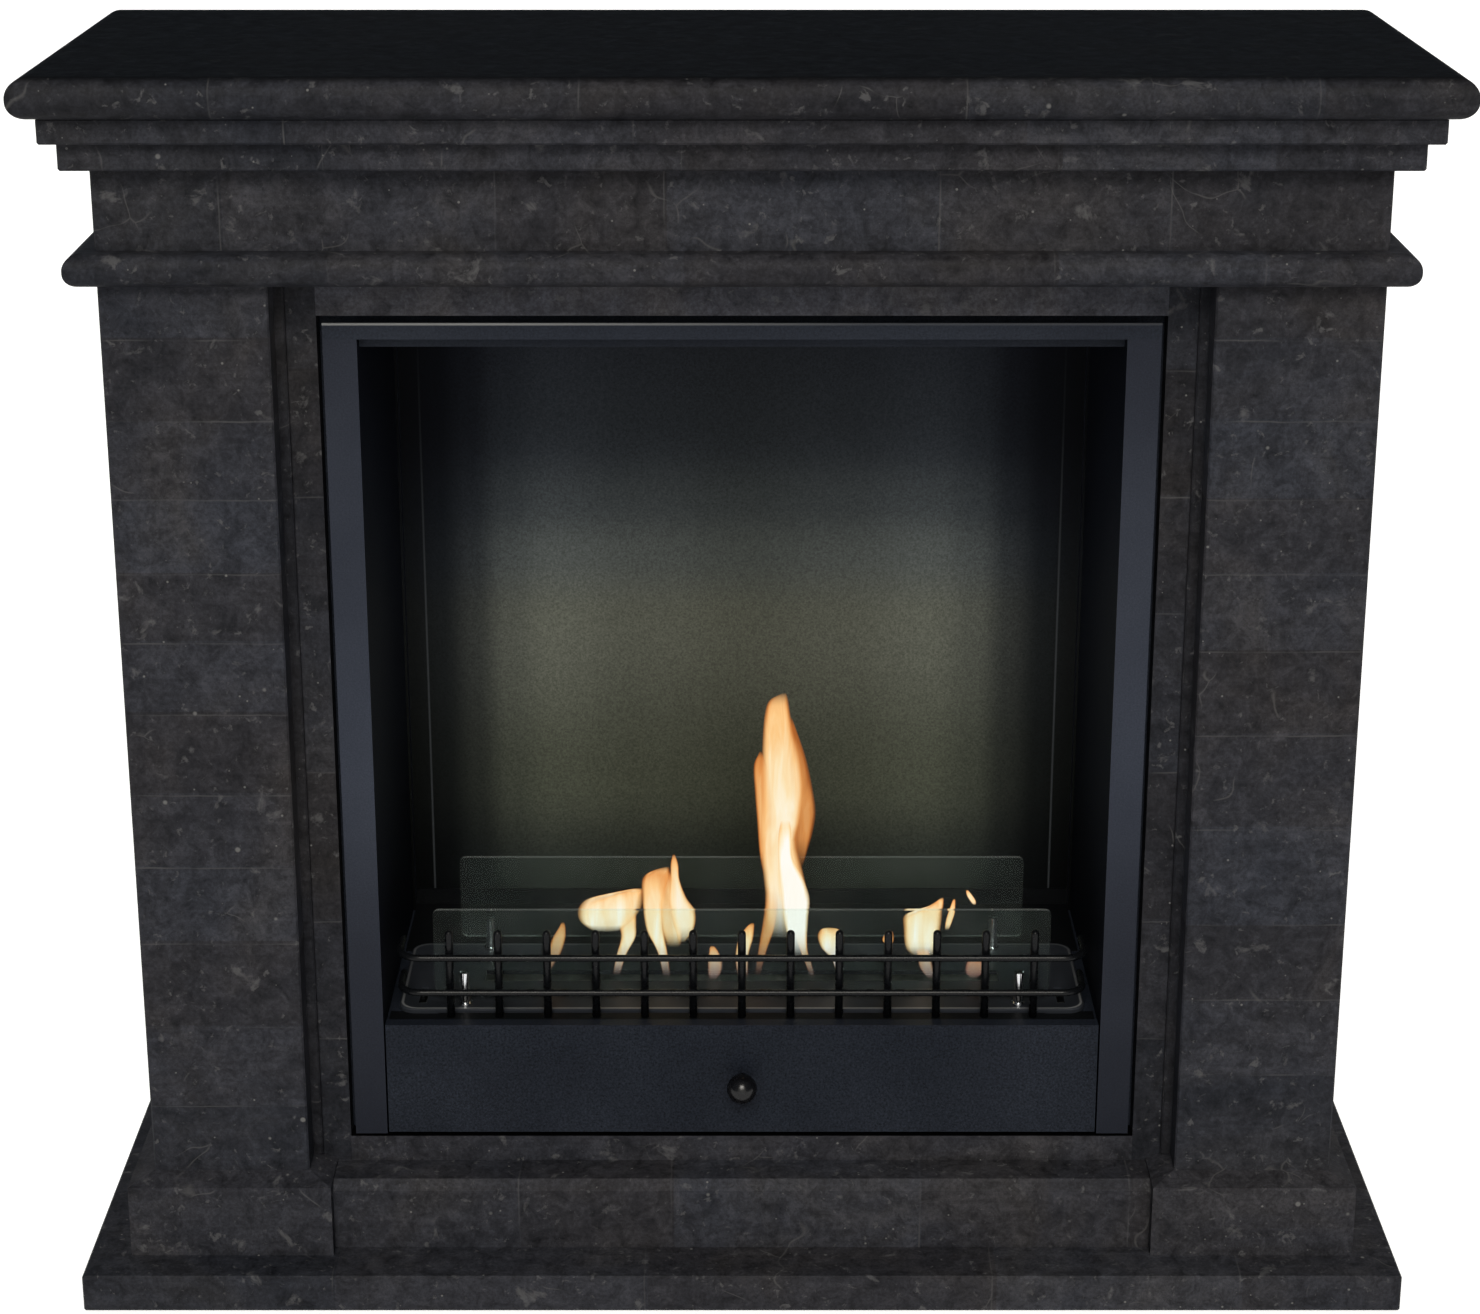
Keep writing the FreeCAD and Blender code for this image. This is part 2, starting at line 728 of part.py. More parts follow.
def make_burner():
    """Tank, wool, top plate with the flame slot and the two end slots, and the slider under the plate."""
    half_tank = half_inside - d.angle_leg - d.tank_end_gap
    tank_foot = tray_top + d.tank_clearance
    tank_outline = rectangle(-half_tank, half_tank, tank_front, tank_back)
    tank = prism("burner_tank", "Z", tank_outline, tank_foot, deck_top)
    half_room = half_tank - d.tank_sheet
    room_front = tank_front + d.tank_sheet
    room_back = tank_back - d.tank_sheet
    room_foot = tank_foot + d.tank_sheet
    add_pocket(tank, "Z", rectangle(-half_room, half_room, room_front, room_back), room_foot, deck_top)

    plate_outline = rectangle(-half_plate, half_plate, plate_front, plate_back)
    plate = prism("burner_top_plate", "Z", plate_outline, deck_top, plate_top)
    dress_edges(plate, "Fillet", d.plate_corner, is_vertical)
    dress_edges(plate, "Chamfer", d.plate_edge, lambda edge: is_at_height(edge, plate_top))
    slot_middle = (plate_front + plate_back) / 2
    slot_front = slot_middle - d.flame_slot_width / 2
    slot_back = slot_middle + d.flame_slot_width / 2
    half_slot = half_plate - d.flame_slot_inset
    add_pocket(plate, "Z", rectangle(-half_slot, half_slot, slot_front, slot_back), deck_top, plate_top)

    slider_stroke = d.flame_slot_width + d.slider_lap * 2
    slider_front = room_front + d.slider_front_gap
    slider_top = deck_top - d.running_gap
    slider_foot = slider_top - d.slider_sheet
    arm_back = slider_front + d.slider_arm_depth
    arm_reach = half_room - d.slider_end_gap
    arms = rectangle(-arm_reach, arm_reach, slider_front, arm_back)
    slider = prism("burner_slider", "Z", arms, slider_foot, slider_top)
    half_blade = half_slot + d.slider_end_play
    blade = rectangle(-half_blade, half_blade, slider_front, slot_front - d.slider_lap)
    add_pad(slider, "Z", blade, slider_foot, slider_top)
    hook_line = (slider_front + arm_back) / 2
    hook_room = d.hook_hole_diameter / 2 + d.end_slot_play
    end_front = hook_line - hook_room
    end_back = hook_line + slider_stroke + hook_room
    hook = half_plate - d.hook_inset
    end_inner = hook - d.end_slot_width / 2
    guide_outer = end_inner - d.guide_gap
    guide_rest = slider_foot - d.running_gap
    guide_post = arm_back + slider_stroke + d.end_slot_play
    for name, side in LEFT_RIGHT:
        hook_hole = new_sketch(slider, "Z", slider_top)
        draw_circle(hook_hole, hook * side, hook_line, d.hook_hole_diameter)
        finish_pocket(slider, hook_hole, d.slider_sheet)
        end_slot = rectangle(*across(side, end_inner, end_inner + d.end_slot_width), end_front, end_back)
        add_pocket(plate, "Z", end_slot, deck_top, plate_top)
        guide_span = across(side, guide_outer - d.guide_width, guide_outer)
        make_slider_guide(name, guide_span, room_front, guide_post, guide_rest)

    half_wool = half_room - d.wool_margin
    wool = rectangle(-half_wool, half_wool, room_front + d.wool_margin, room_back - d.wool_margin)
    prism("ceramic_wool", "Z", wool, room_foot, guide_rest - d.guide_height - d.wool_gap)


def make_slider_guide(name, span, start, post, rest):
    """Ledge under one end of the slider, hung from the top plate behind the slider's travel."""
    section = [
        (start, rest - d.guide_height),
        (post + d.guide_post, rest - d.guide_height),
        (post + d.guide_post, deck_top),
        (post, deck_top),
        (post, rest),
        (start, rest),
    ]
    prism(f"slider_guide_{name}", "X", section, *span)


def is_across_pane(edge):
    """True for an edge that runs through the thickness of a pane."""
    return edge.BoundBox.YLength > edge.BoundBox.DiagonalLength - TOUCH


def make_glass(name, margin, middle):
    """One wind glass standing in the slots of two posts on the burner plate."""
    foot = plate_top + d.glass_raise
    half = d.glass_thickness / 2
    half_width = half_plate - margin
    outline = rectangle(-half_width, half_width, foot, foot + d.glass_height)
    pane = prism(f"{name}_glass", "Y", outline, middle - half, middle + half)
    dress_edges(pane, "Fillet", d.glass_corner, is_across_pane)
    radius = d.post_diameter / 2
    collar = d.post_collar_diameter / 2
    outline = [
        (0, 0),
        (collar, 0),
        (collar, d.post_collar_height),
        (radius, d.post_collar_height),
        (radius, d.post_height),
        (0, d.post_height),
    ]
    posts, sketch = turned(f"{name}_glass_posts", outline)
    half_gap = half + d.post_slot_play
    gap = rectangle(-half_gap, half_gap, d.glass_raise, d.post_height)
    add_pocket(posts, "X", gap, -collar, collar)
    post_reach = half_width - d.post_inset
    repeat_along_x(posts, sketch, post_reach * 2, 2)
    place(posts, -post_reach, middle, plate_top)


def make_grate():
    """Foot bar on the deck, a row of uprights and two bent rails welded to their fronts."""
    half_rail = half_inside - d.rail_wire_gap - d.rail_wire_diameter / 2
    half_row = half_rail - d.upright_inset
    half_bar = half_row + d.foot_bar_overhang
    bar_top = deck_top + d.foot_bar_height
    prism("grate_foot_bar", "Z", rectangle(-half_bar, half_bar, bar_front, bar_back), deck_top, bar_top)
    radius = d.upright_diameter / 2
    outline = [
        (0, 0),
        (radius, 0),
        (radius, d.upright_height - d.upright_tip),
        (0, d.upright_height),
    ]
    uprights, sketch = turned("grate_uprights", outline)
    repeat_along_x(uprights, sketch, half_row * 2, UPRIGHT_COUNT)
    upright_line = (bar_front + bar_back) / 2
    place(uprights, -half_row, upright_line, bar_top)
    rail_line = upright_line - (d.upright_diameter + d.rail_wire_diameter) / 2 - d.weld_gap
    for name, height in (("upper", d.upper_rail_height), ("lower", d.lower_rail_height)):
        make_grate_rail(f"grate_rail_{name}", half_rail, rail_line, bar_top + height)


def make_grate_rail(label, half, front, height):
    """A wire along X whose two ends bend back into the firebox."""
    body = new_body(label)
    leg_end = front + d.rail_leg
    path = new_sketch(body, "Z", height)
    draw_bent_wire(path, half, front, leg_end, d.rail_bend)
    section = new_sketch(body, "Y", leg_end)
    draw_circle(section, -half, height, d.rail_wire_diameter)
    wire = body.newObject("PartDesign::AdditivePipe", f"{label}_wire")
    wire.Profile = section
    wire.Spine = (path, [])


def draw_bent_wire(sketch, half, front, leg_end, bend):
    """Leg, bend, straight run, bend and leg, all tangent."""
    middle = bend * (1 - 0.5 ** 0.5)
    stations = [
        (-half, leg_end),
        (-half, front + bend),
        (middle - half, front + middle),
        (bend - half, front),
        (half - bend, front),
        (half - middle, front + middle),
        (half, front + bend),
        (half, leg_end),
    ]
    at = [FreeCAD.Vector(u.value, v.value) for u, v in stations]
    sketch.addGeometry(Part.LineSegment(at[0], at[1]), False)
    sketch.addGeometry(Part.Arc(at[1], at[2], at[3]), False)
    sketch.addGeometry(Part.LineSegment(at[3], at[4]), False)
    sketch.addGeometry(Part.Arc(at[4], at[5], at[6]), False)
    sketch.addGeometry(Part.LineSegment(at[6], at[7]), False)
    sketch.addConstraint(Sketcher.Constraint("Vertical", 0))
    sketch.addConstraint(Sketcher.Constraint("Horizontal", 2))
    sketch.addConstraint(Sketcher.Constraint("Vertical", 4))
    for line, line_end, arc, arc_end in ((0, 2, 1, 1), (2, 1, 1, 2), (2, 2, 3, 1), (4, 1, 3, 2)):
        sketch.addConstraint(Sketcher.Constraint("Tangent", line, line_end, arc, arc_end))
    for arc in (1, 3):
        index = sketch.addConstraint(Sketcher.Constraint("Radius", arc, bend.value))
        bind(sketch, f"Constraints[{index}]", bend)
    pin_point(sketch, 0, 1, -half, leg_end)
    pin_point(sketch, 4, 2, half, leg_end)
    index = sketch.addConstraint(Sketcher.Constraint("DistanceY", -1, 1, 2, 1, front.value))
    bind(sketch, f"Constraints[{index}]", front)


def check_and_export():
    """Stop on any failed object, then write each sub-part to its own file."""
    doc.recompute()
    for item in doc.Objects:
        if "Invalid" in item.State or "Error" in item.State:
            raise RuntimeError(f"{item.Label} failed: {item.State}")
    for part in parts:
        if part.Shape.isNull() or not part.Shape.isValid() or not part.Shape.Solids:
            raise RuntimeError(f"{part.Label} has no valid solid")
    os.makedirs("parts", exist_ok=True)
    for part in parts:
        part.Shape.exportStep(f"parts/{part.Label}.step")
        print(part.Label, len(part.Shape.Solids), round(part.Shape.Volume))


make_mouldings()
for name, side in LEFT_RIGHT:
    make_plinth(side, name)
    make_leg(side, name)
make_frieze()
make_slips()
make_firebox()
make_deck()
make_drawer()
make_burner()
make_glass("front", d.front_glass_margin, plate_front + d.glass_edge_margin)
make_glass("rear", d.rear_glass_margin, plate_back - d.glass_edge_margin)
make_grate()
check_and_export()
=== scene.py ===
import json
import math

import bpy
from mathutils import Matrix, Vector


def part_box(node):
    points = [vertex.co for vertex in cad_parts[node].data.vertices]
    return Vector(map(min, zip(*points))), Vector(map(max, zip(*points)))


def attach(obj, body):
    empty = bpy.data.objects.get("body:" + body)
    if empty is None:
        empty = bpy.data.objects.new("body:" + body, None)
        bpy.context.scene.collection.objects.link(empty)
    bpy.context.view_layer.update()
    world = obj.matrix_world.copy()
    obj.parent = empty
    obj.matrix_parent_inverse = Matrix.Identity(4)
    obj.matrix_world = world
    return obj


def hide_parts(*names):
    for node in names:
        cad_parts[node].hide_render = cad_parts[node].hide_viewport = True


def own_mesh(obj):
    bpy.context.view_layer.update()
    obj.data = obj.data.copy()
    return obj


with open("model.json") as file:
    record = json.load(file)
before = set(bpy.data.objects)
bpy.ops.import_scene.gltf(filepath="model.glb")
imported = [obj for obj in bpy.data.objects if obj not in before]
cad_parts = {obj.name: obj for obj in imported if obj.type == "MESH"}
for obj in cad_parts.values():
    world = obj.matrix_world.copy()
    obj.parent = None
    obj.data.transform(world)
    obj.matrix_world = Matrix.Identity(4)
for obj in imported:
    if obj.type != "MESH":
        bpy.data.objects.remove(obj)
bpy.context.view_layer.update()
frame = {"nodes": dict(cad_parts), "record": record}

MM = 0.001

# Camera: a long lens in front of the fireplace, above it and looking down.
CAMERA_PLACE = (-0.0016, -2.585, 1.392)
CAMERA_PITCH_DEGREES = 18.74
CAMERA_LENS_MM = 77.79

# Studio light: a soft sun from the front and above, a low fill, two suns from behind and a cool even sky.
KEY_ELEVATION_DEGREES = 39
KEY_ANGLE_DEGREES = 26
KEY_STRENGTH = 2.3
FILL_ELEVATION_DEGREES = 4
FILL_ANGLE_DEGREES = 60
FILL_STRENGTH = 0.8
REAR_ELEVATION_DEGREES = 20
REAR_TURN_DEGREES = 140
REAR_STRENGTH = 0.9
SUN_COLOUR = (1.0, 0.96, 0.87)
SKY_STRENGTH = 0.12
SKY_COLOUR = (0.72, 0.84, 1.0)
FLOOR_SIZE = 60
FLOOR_COLOUR = (0.86, 0.86, 0.87)
FLOOR_GLOW = 0.55

# Heights of the joints between the stone tiles on the legs, and places of those along the beams, in mm.
LEFT_LEG_JOINTS = (164, 237, 313, 381, 445, 515, 576, 634, 696, 760, 825)
RIGHT_LEG_JOINTS = (193, 262, 330, 415, 497, 569, 634, 696, 760, 825)
SLIP_JOINTS = (210, 318, 452, 590, 688, 792)
SHELF_JOINTS = (-398, -122, 168, 431)
CORNICE_JOINTS = (-318, -46, 240, 402)
FRIEZE_JOINTS = (-402, -190, -60, 152, 330)
BASE_JOINTS = (-345, -82, 211, 420)

# Tone and warmth of the tiles, whose steps keep neighbours apart, and the joints' lines, in metres.
TILE_TONE = 0.82
TILE_TONE_RANGE = 0.34
TILE_TONE_STEP = 0.618
TILE_WARMTH_RANGE = 0.08
TILE_WARMTH_STEP = 0.382
TILE_END = 0.1
JOINT_WAVER = 0.0012
JOINT_OUTER = 0.0009
JOINT_INNER = 0.0003

# The stone's colours, and how strongly its marks show.
STONE_CLOUDS = [
    (0.3, (0.0205, 0.0218, 0.0278)), (0.5, (0.0265, 0.0268, 0.0322)), (0.7, (0.0335, 0.0318, 0.034)),
]
JOINT_COLOUR = (0.075, 0.074, 0.076)
SPOT_COLOUR = (0.125, 0.124, 0.128)
VEIN_COLOUR = (0.12, 0.118, 0.118)
CHIP_COLOUR = (0.2, 0.198, 0.196)
SPOT_SHARE = 0.42
VEIN_SHARE = 0.36
CHIP_SHARE = 0.55

# Powder coats: the two tones of each, the fineness of the grain, and the light and shade painted on the
# firebox:
# a painted pool of light on the back wall, a painted band of light and painted shade on the side walls,
# and a painted highlight on the top's flange, with places in metres.
COAT_TONES = ((0.014, 0.017, 0.025), (0.02, 0.024, 0.034))
DECK_TONES = ((0.003, 0.0034, 0.0042), (0.005, 0.0056, 0.0066))
DRAWER_TONES = ((0.0085, 0.0104, 0.0156), (0.015, 0.0182, 0.0262))
# The back wall's tones are a lighter, lit copy of the coat: painted light on the inside of the back wall.
BACK_LIT_TONES = ((0.096, 0.103, 0.099), (0.11, 0.117, 0.112))
SIDE_TONES = ((0.026, 0.03, 0.043), (0.034, 0.039, 0.054))
COAT_GRAIN = 520.0
COAT_ROUGHNESS = 0.42
# Painted pool of light on the back wall: its width, its colour across the wall with painted shade toward
# the sides, and its colour up the wall with the lintel's painted shadow along the top.
BACK_LIGHT_POOL_WIDTH = 0.3
BACK_LIGHT_POOL_ACROSS = [
    (0.0, (0.62, 0.62, 0.58)), (0.3, (0.74, 0.74, 0.71)), (0.58, (1.0, 1.0, 0.98)),
    (0.7, (0.74, 0.75, 0.76)), (0.8, (0.31, 0.32, 0.36)), (0.9, (0.1, 0.11, 0.14)),
    (1.0, (0.06, 0.065, 0.08)),
]
BACK_LIGHT_POOL_HEIGHTS = (0.2, 0.8)
BACK_LIGHT_POOL_UP = [
    (0.0, (0.1, 0.11, 0.11)), (0.1, (0.26, 0.28, 0.26)), (0.24, (0.6, 0.62, 0.5)),
    (0.5, (1.0, 1.0, 0.9)), (0.6, (0.84, 0.89, 0.95)), (0.68, (0.56, 0.61, 0.72)),
    (0.77, (0.38, 0.42, 0.55)), (1.0, (0.3, 0.325, 0.47)),
]
# A seam between liner panels, painted pale as a highlight on its edge, weaker toward the shaded top.
BACK_SEAM_PLACE = 0.2845
BACK_SEAM_OUTER = 0.0012
BACK_SEAM_INNER = 0.0004
BACK_SEAM_HEIGHTS = (0.74, 0.5)
BACK_SEAM_HIGHLIGHT_COLOUR = (0.05, 0.055, 0.062)
BACK_OUTSIDE_COLOUR = (0.017, 0.02, 0.029)
# Painted band of light up the side walls, darker low and high.
SIDE_LIGHT_BAND_HEIGHTS = (0.12, 0.84)
SIDE_LIGHT_BAND_UP = [
    (0.0, (0.42, 0.42, 0.44)), (0.2, (0.62, 0.62, 0.63)), (0.5, (1.1, 1.12, 1.14)),
    (0.75, (0.95, 0.96, 0.97)), (1.0, (0.6, 0.6, 0.62)),
]
# Painted shade inside the side walls, just behind the front flanges.
SIDE_SHADE_STARTS = 0.0005
SIDE_SHADE_FULL = 0.003
SIDE_SHADE_TINT = (0.3, 0.31, 0.34)
# Painted highlight along the upper edge of the top's front flange: its colour, its depths and its
# strength along the flange.
FLANGE_HIGHLIGHT_COLOUR = (0.24, 0.245, 0.25)
HIGHLIGHT_DEPTHS = (0.002, 0.0012)
HIGHLIGHT_ALONG = (0.1, -0.2)
FLANGE_DEPTHS = (0.004, 0.003)

# Metal, glass and wool.
PLATE_COLOUR = (0.036, 0.041, 0.052)
# The pale line near the plate's rim is a painted highlight of its edge.
PLATE_RIM_HIGHLIGHT_COLOUR = (0.26, 0.265, 0.275)
PLATE_LINE_INSET = 0.0025
PLATE_LINE_CORNER = 0.014
PLATE_LINE_WIDTH = 0.0014
BRUSHING = (6.0, 700.0, 300.0)
GLASS_COLOUR = (0.88, 0.97, 0.95, 1.0)
THIN_PANE_IOR = 1.03
WOOL_TONES = ((0.34, 0.32, 0.29), (0.62, 0.6, 0.56))
CHAR_COLOUR = (0.12, 0.105, 0.095)

# The middle stretch of a noise pattern, where most of its values lie.
NOISE_RANGE = (0.3, 0.7)

# The weak shine of stone and powder coat.
MATT_SPECULAR = 0.06

# Round pieces: rings along the profile and sides round it.
KNOB_RINGS = 24
KNOB_SIDES = 48
KNOB_NECK_DEGREES = 155
UPRIGHT_COUNT = 13
UPRIGHT_RINGS = 8
UPRIGHT_SIDES = 20
POLE_RADIUS = 0.0001

# Flames: their mesh, how they sink when the slider closes, and their colours.
FLAME_RINGS = 36
FLAME_SIDES = 20
FLAME_DEPTH = 0.42
FLAME_LEAST_HALF_WIDTH_MM = 0.4
FIRE_COLOURS = [
    (0.0, (0.5, 0.14, 0.025)), (0.3, (0.82, 0.33, 0.09)), (0.55, (1.0, 0.6, 0.25)),
    (0.75, (1.0, 0.79, 0.47)), (0.9, (1.0, 0.9, 0.68)), (1.0, (1.0, 0.98, 0.9)),
]
FIRE_FOOT_COLOUR = (0.4, 0.22, 0.26)
FIRE_FOOT_HEIGHT = 0.03
FIRE_CLEAR_HEIGHTS = (-0.004, 0.036)

# Each flame's warmth, its cover, its place in front of the slot's middle, and its spans of
# (height above the plate, left, right) from foot to tip, in mm.
FLAMES = {
    "main": (0.02, 0.94, 0, [
        (38, 22, 52), (54, 20, 55), (78, 20, 57), (100, 18, 53), (127, 17, 47), (149, 16, 51),
        (176, 16, 53), (204, 17, 50), (231, 18, 44), (248, 20, 41), (256, 23, 40), (260, 29, 39),
        (263, 35, 38),
    ]),
    "main_core": (0.3, 0.97, 10, [
        (24, 44, 57), (40, 40, 57), (59, 36, 58), (78, 34, 59), (97, 32, 53), (116, 31, 44),
        (134, 31, 43), (150, 33, 42),
    ]),
    "main_left": (-0.38, 0.75, -3, [
        (95, 18, 26), (116, 15, 26), (144, 13, 26), (171, 11, 26), (195, 10, 22), (206, 14, 18),
        (209, 15, 17),
    ]),
    "main_right": (-0.6, 0.55, -3, [
        (101, 46, 53), (116, 44, 57), (136, 42, 62), (154, 42, 64), (176, 42, 61), (204, 40, 55),
        (231, 38, 46), (240, 40, 43),
    ]),
    "leg_left": (-0.36, 0.4, 1, [
        (-1, 11, 16), (24, 14, 22), (46, 17, 29), (68, 20, 32), (86, 22, 30),
    ]),
    "leg_right": (-0.2, 0.45, 1, [
        (-3, 61, 65), (13, 55, 61), (24, 51, 58), (40, 46, 57), (56, 46, 54),
    ]),
    "left_stem": (0.0, 0.85, 0, [
        (0, -114, -107), (20, -110, -101), (36, -106, -93), (48, -107, -92), (60, -104, -92),
    ]),
    "left_head": (0.06, 0.95, 2, [
        (45, -133, -104), (54, -142, -95), (64, -143, -88), (72, -136, -86), (78, -115, -86),
        (83, -95, -86),
    ]),
    "left_tall": (-0.02, 0.92, 0, [
        (-3, -69, -62), (22, -74, -65), (42, -83, -68), (59, -86, -68), (75, -87, -66),
        (91, -87, -62), (98, -80, -62), (103, -66, -63),
    ]),
    "left_join": (-0.12, 0.7, 0, [
        (28, -66, -53), (42, -70, -52), (58, -72, -54), (74, -74, -55), (88, -72, -57),
        (98, -67, -59),
    ]),
    "left_curl": (-0.02, 0.85, 3, [
        (33, -55, -50), (43, -58, -43), (53, -61, -40), (64, -63, -41), (75, -64, -48),
        (92, -62, -54), (106, -62, -55), (116, -60, -58),
    ]),
    "far_left": (-0.2, 0.4, 0, [
        (0, -175, -170), (8, -174, -166), (22, -171, -158), (36, -166, -154), (46, -160, -154),
        (51, -158, -155),
    ]),
    "middle_low": (-0.05, 0.85, 2, [
        (-4, -29, -23), (4, -30, -18), (14, -30, -17), (23, -29, -20), (29, -28, -24),
    ]),
    "middle_lean": (-0.05, 0.85, 2, [
        (-2, -4, 6), (19, -6, 6), (36, -3, 10), (46, 3, 11), (51, 8, 11),
    ]),
    "right_round": (0.15, 0.9, 2, [
        (-2, 84, 87), (13, 80, 87), (21, 75, 89), (28, 69, 89), (38, 66, 89), (44, 68, 86),
        (46, 72, 80),
    ]),
    "right_small": (-0.3, 0.8, 0, [(28, 128, 131), (33, 123, 133), (38, 124, 133), (42, 129, 132)]),
    "right_foot": (-0.05, 0.7, 2, [(-3, 164, 171), (8, 156, 168), (17, 154, 166), (26, 152, 164)]),
    "right_group": (0.06, 0.92, 0, [
        (19, 150, 168), (25, 144, 171), (33, 142, 172), (46, 141, 174), (56, 141, 175),
        (61, 150, 175), (66, 163, 176), (74, 174, 176),
    ]),
    "right_spike": (-0.1, 0.85, 3, [(45, 177, 181), (54, 178, 184), (62, 180, 186), (74, 184, 186)]),
    "spark": (-0.1, 0.85, 0, [(67, 202, 204), (71, 199, 204), (76, 196, 201), (81, 195, 197)]),
    "far_right": (-0.3, 0.8, 0, [
        (-3, 201, 207), (3, 196, 212), (9, 196, 213), (14, 198, 211), (17, 202, 208),
    ]),
}


class Graph:
    """The node tree of one material, with short ways to add nodes."""

    def __init__(self, name):
        self.material = bpy.data.materials.new(name)
        self.material.use_nodes = True
        self.tree = self.material.node_tree
        self.shader = self.tree.nodes["Principled BSDF"]

    def node(self, kind, inputs=None, **settings):
        """Add a node, set its properties and fill its inputs with values or other nodes' outputs."""
        node = self.tree.nodes.new(f"ShaderNode{kind}")
        for name, value in settings.items():
            setattr(node, name, value)
        for name, value in (inputs or {}).items():
            self.fill(node.inputs[name], value)
        return node

    def fill(self, socket, value):
        """Link an input to another node's output, or set it to a value."""
        if isinstance(value, bpy.types.NodeSocket):
            self.tree.links.new(value, socket)
        else:
            socket.default_value = value

    def shade(self, **values):
        """Fill inputs of the material's shader, named with underscores for spaces."""
        for name, value in values.items():
            self.fill(self.shader.inputs[name.replace("_", " ")], value)

    def colour(self):
        """The output that the shader's colour comes from so far."""
        return self.shader.inputs["Base Color"].links[0].from_socket

    def tint(self, colour):
        """Multiply the material's colour by another one."""
        self.shade(Base_Color=self.mix(1.0, self.colour(), colour, "MULTIPLY"))

    def place(self):
        """The point of the surface in the object's own frame, in metres."""
        return self.node("TexCoord").outputs["Object"]

    def stretched(self, scale):
        """The point of the surface with each axis scaled."""
        return self.node("Mapping", {"Vector": self.place(), "Scale": scale}).outputs["Vector"]

    def axis(self, letter):
        """One coordinate of the surface, in metres."""
        return self.node("SeparateXYZ", {"Vector": self.place()}).outputs[letter]

    def normal(self, letter):
        """How far the surface faces along an axis."""
        normal = self.node("NewGeometry").outputs["Normal"]
        return self.node("SeparateXYZ", {"Vector": normal}).outputs[letter]

    def noise(self, scale, detail=4.0, roughness=0.55, distortion=0.0, vector=None):
        """A cloudy pattern with values between 0 and 1."""
        inputs = {"Scale": scale, "Detail": detail, "Roughness": roughness, "Distortion": distortion}
        inputs["Vector"] = vector or self.place()
        return self.node("TexNoise", inputs).outputs["Fac"]

    def math(self, operation, first, second=0.0):
        """One step of arithmetic."""
        return self.node("Math", {0: first, 1: second}, operation=operation).outputs[0]

    def product(self, first, *others):
        """Several values multiplied."""
        for other in others:
            first = self.math("MULTIPLY", first, other)
        return first

    def vector(self, operation, first, second=(0.0, 0.0, 0.0)):
        """One step of arithmetic with vectors."""
        return self.node("VectorMath", {0: first, 1: second}, operation=operation).outputs[0]

    def spread(self, value, low, high, to_low=0.0, to_high=1.0):
        """Map a range of a value to another range, clamped."""
        inputs = {"Value": value, "From Min": low, "From Max": high, "To Min": to_low, "To Max": to_high}
        return self.node("MapRange", inputs).outputs["Result"]

    def line(self, value, place, outer, inner):
        """A soft line along a place: full within the inner distance and gone at the outer one."""
        gap = self.math("ABSOLUTE", self.math("SUBTRACT", value, place))
        return self.spread(gap, outer, inner)

    def ramp(self, value, stops, interpolation="LINEAR"):
        """Colours along a value, from (place, colour) stops."""
        node = self.node("ValToRGB", {"Fac": value})
        node.color_ramp.interpolation = interpolation
        elements = node.color_ramp.elements
        while len(elements) < len(stops):
            elements.new(1.0)
        for element, (place, colour) in zip(elements, stops):
            element.position = place
            element.color = (*colour, 1.0)
        return node.outputs["Color"]

    def mix(self, share, first, second, blend="MIX"):
        """Blend two colours. A mix node's colour sockets come after those for numbers and vectors."""
        node = self.node("Mix", data_type="RGBA", blend_type=blend)
        self.fill(node.inputs["Factor"], share)
        for socket, value in ((node.inputs[6], first), (node.inputs[7], second)):
            self.fill(socket, (*value, 1.0) if isinstance(value, tuple) else value)
        return node.outputs[2]

    def grey(self, value):
        """A value as a grey colour."""
        return self.node("CombineColor", {0: value, 1: value, 2: value}).outputs[0]

    def bump(self, height, strength, distance):
        """A normal that a fine relief has tilted."""
        inputs = {"Height": height, "Strength": strength, "Distance": distance}
        return self.node("Bump", inputs).outputs["Normal"]


def thin_veins(graph, scale, width, coverage):
    """Broken pale lines: cell borders of a wavy pattern, kept only in patches."""
    wave_scale, wave_reach = scale * 0.6, 1.6 / scale
    patch_scale, patch_edge = scale * 1.3, 0.06
    inputs = {"Vector": graph.place(), "Scale": wave_scale, "Detail": 3.0}
    wave = graph.node("TexNoise", inputs).outputs["Color"]
    shift = graph.node("VectorMath", {0: wave, "Scale": wave_reach}, operation="SCALE").outputs[0]
    bent = graph.vector("ADD", graph.place(), shift)
    cells = graph.node("TexVoronoi", {"Vector": bent, "Scale": scale}, feature="DISTANCE_TO_EDGE")
    line = graph.spread(cells.outputs["Distance"], width, 0.0)
    patch = graph.spread(graph.noise(patch_scale, detail=2.0), coverage, coverage + patch_edge)
    return graph.product(line, patch)


def flecks(graph, scale, share):
    """Small pale spots, one in some of the cells."""
    largest, soft_edge = 0.22, 0.08
    cells = graph.node("TexVoronoi", {"Vector": graph.place(), "Scale": scale})
    chosen = graph.node("SeparateColor", {"Color": cells.outputs["Color"]}).outputs["Red"]
    size = graph.spread(chosen, 1.0 - share, 1.0, 0.0, largest)
    near = graph.math("SUBTRACT", size, cells.outputs["Distance"])
    return graph.spread(near, 0.0, soft_edge)


def blotches(graph, scale, level):
    """Pale ragged spots where a rough pattern rises over a level."""
    soft_edge = 0.07
    pattern = graph.noise(scale, detail=6.0, roughness=0.62, distortion=0.4)
    return graph.spread(pattern, level, level + soft_edge)


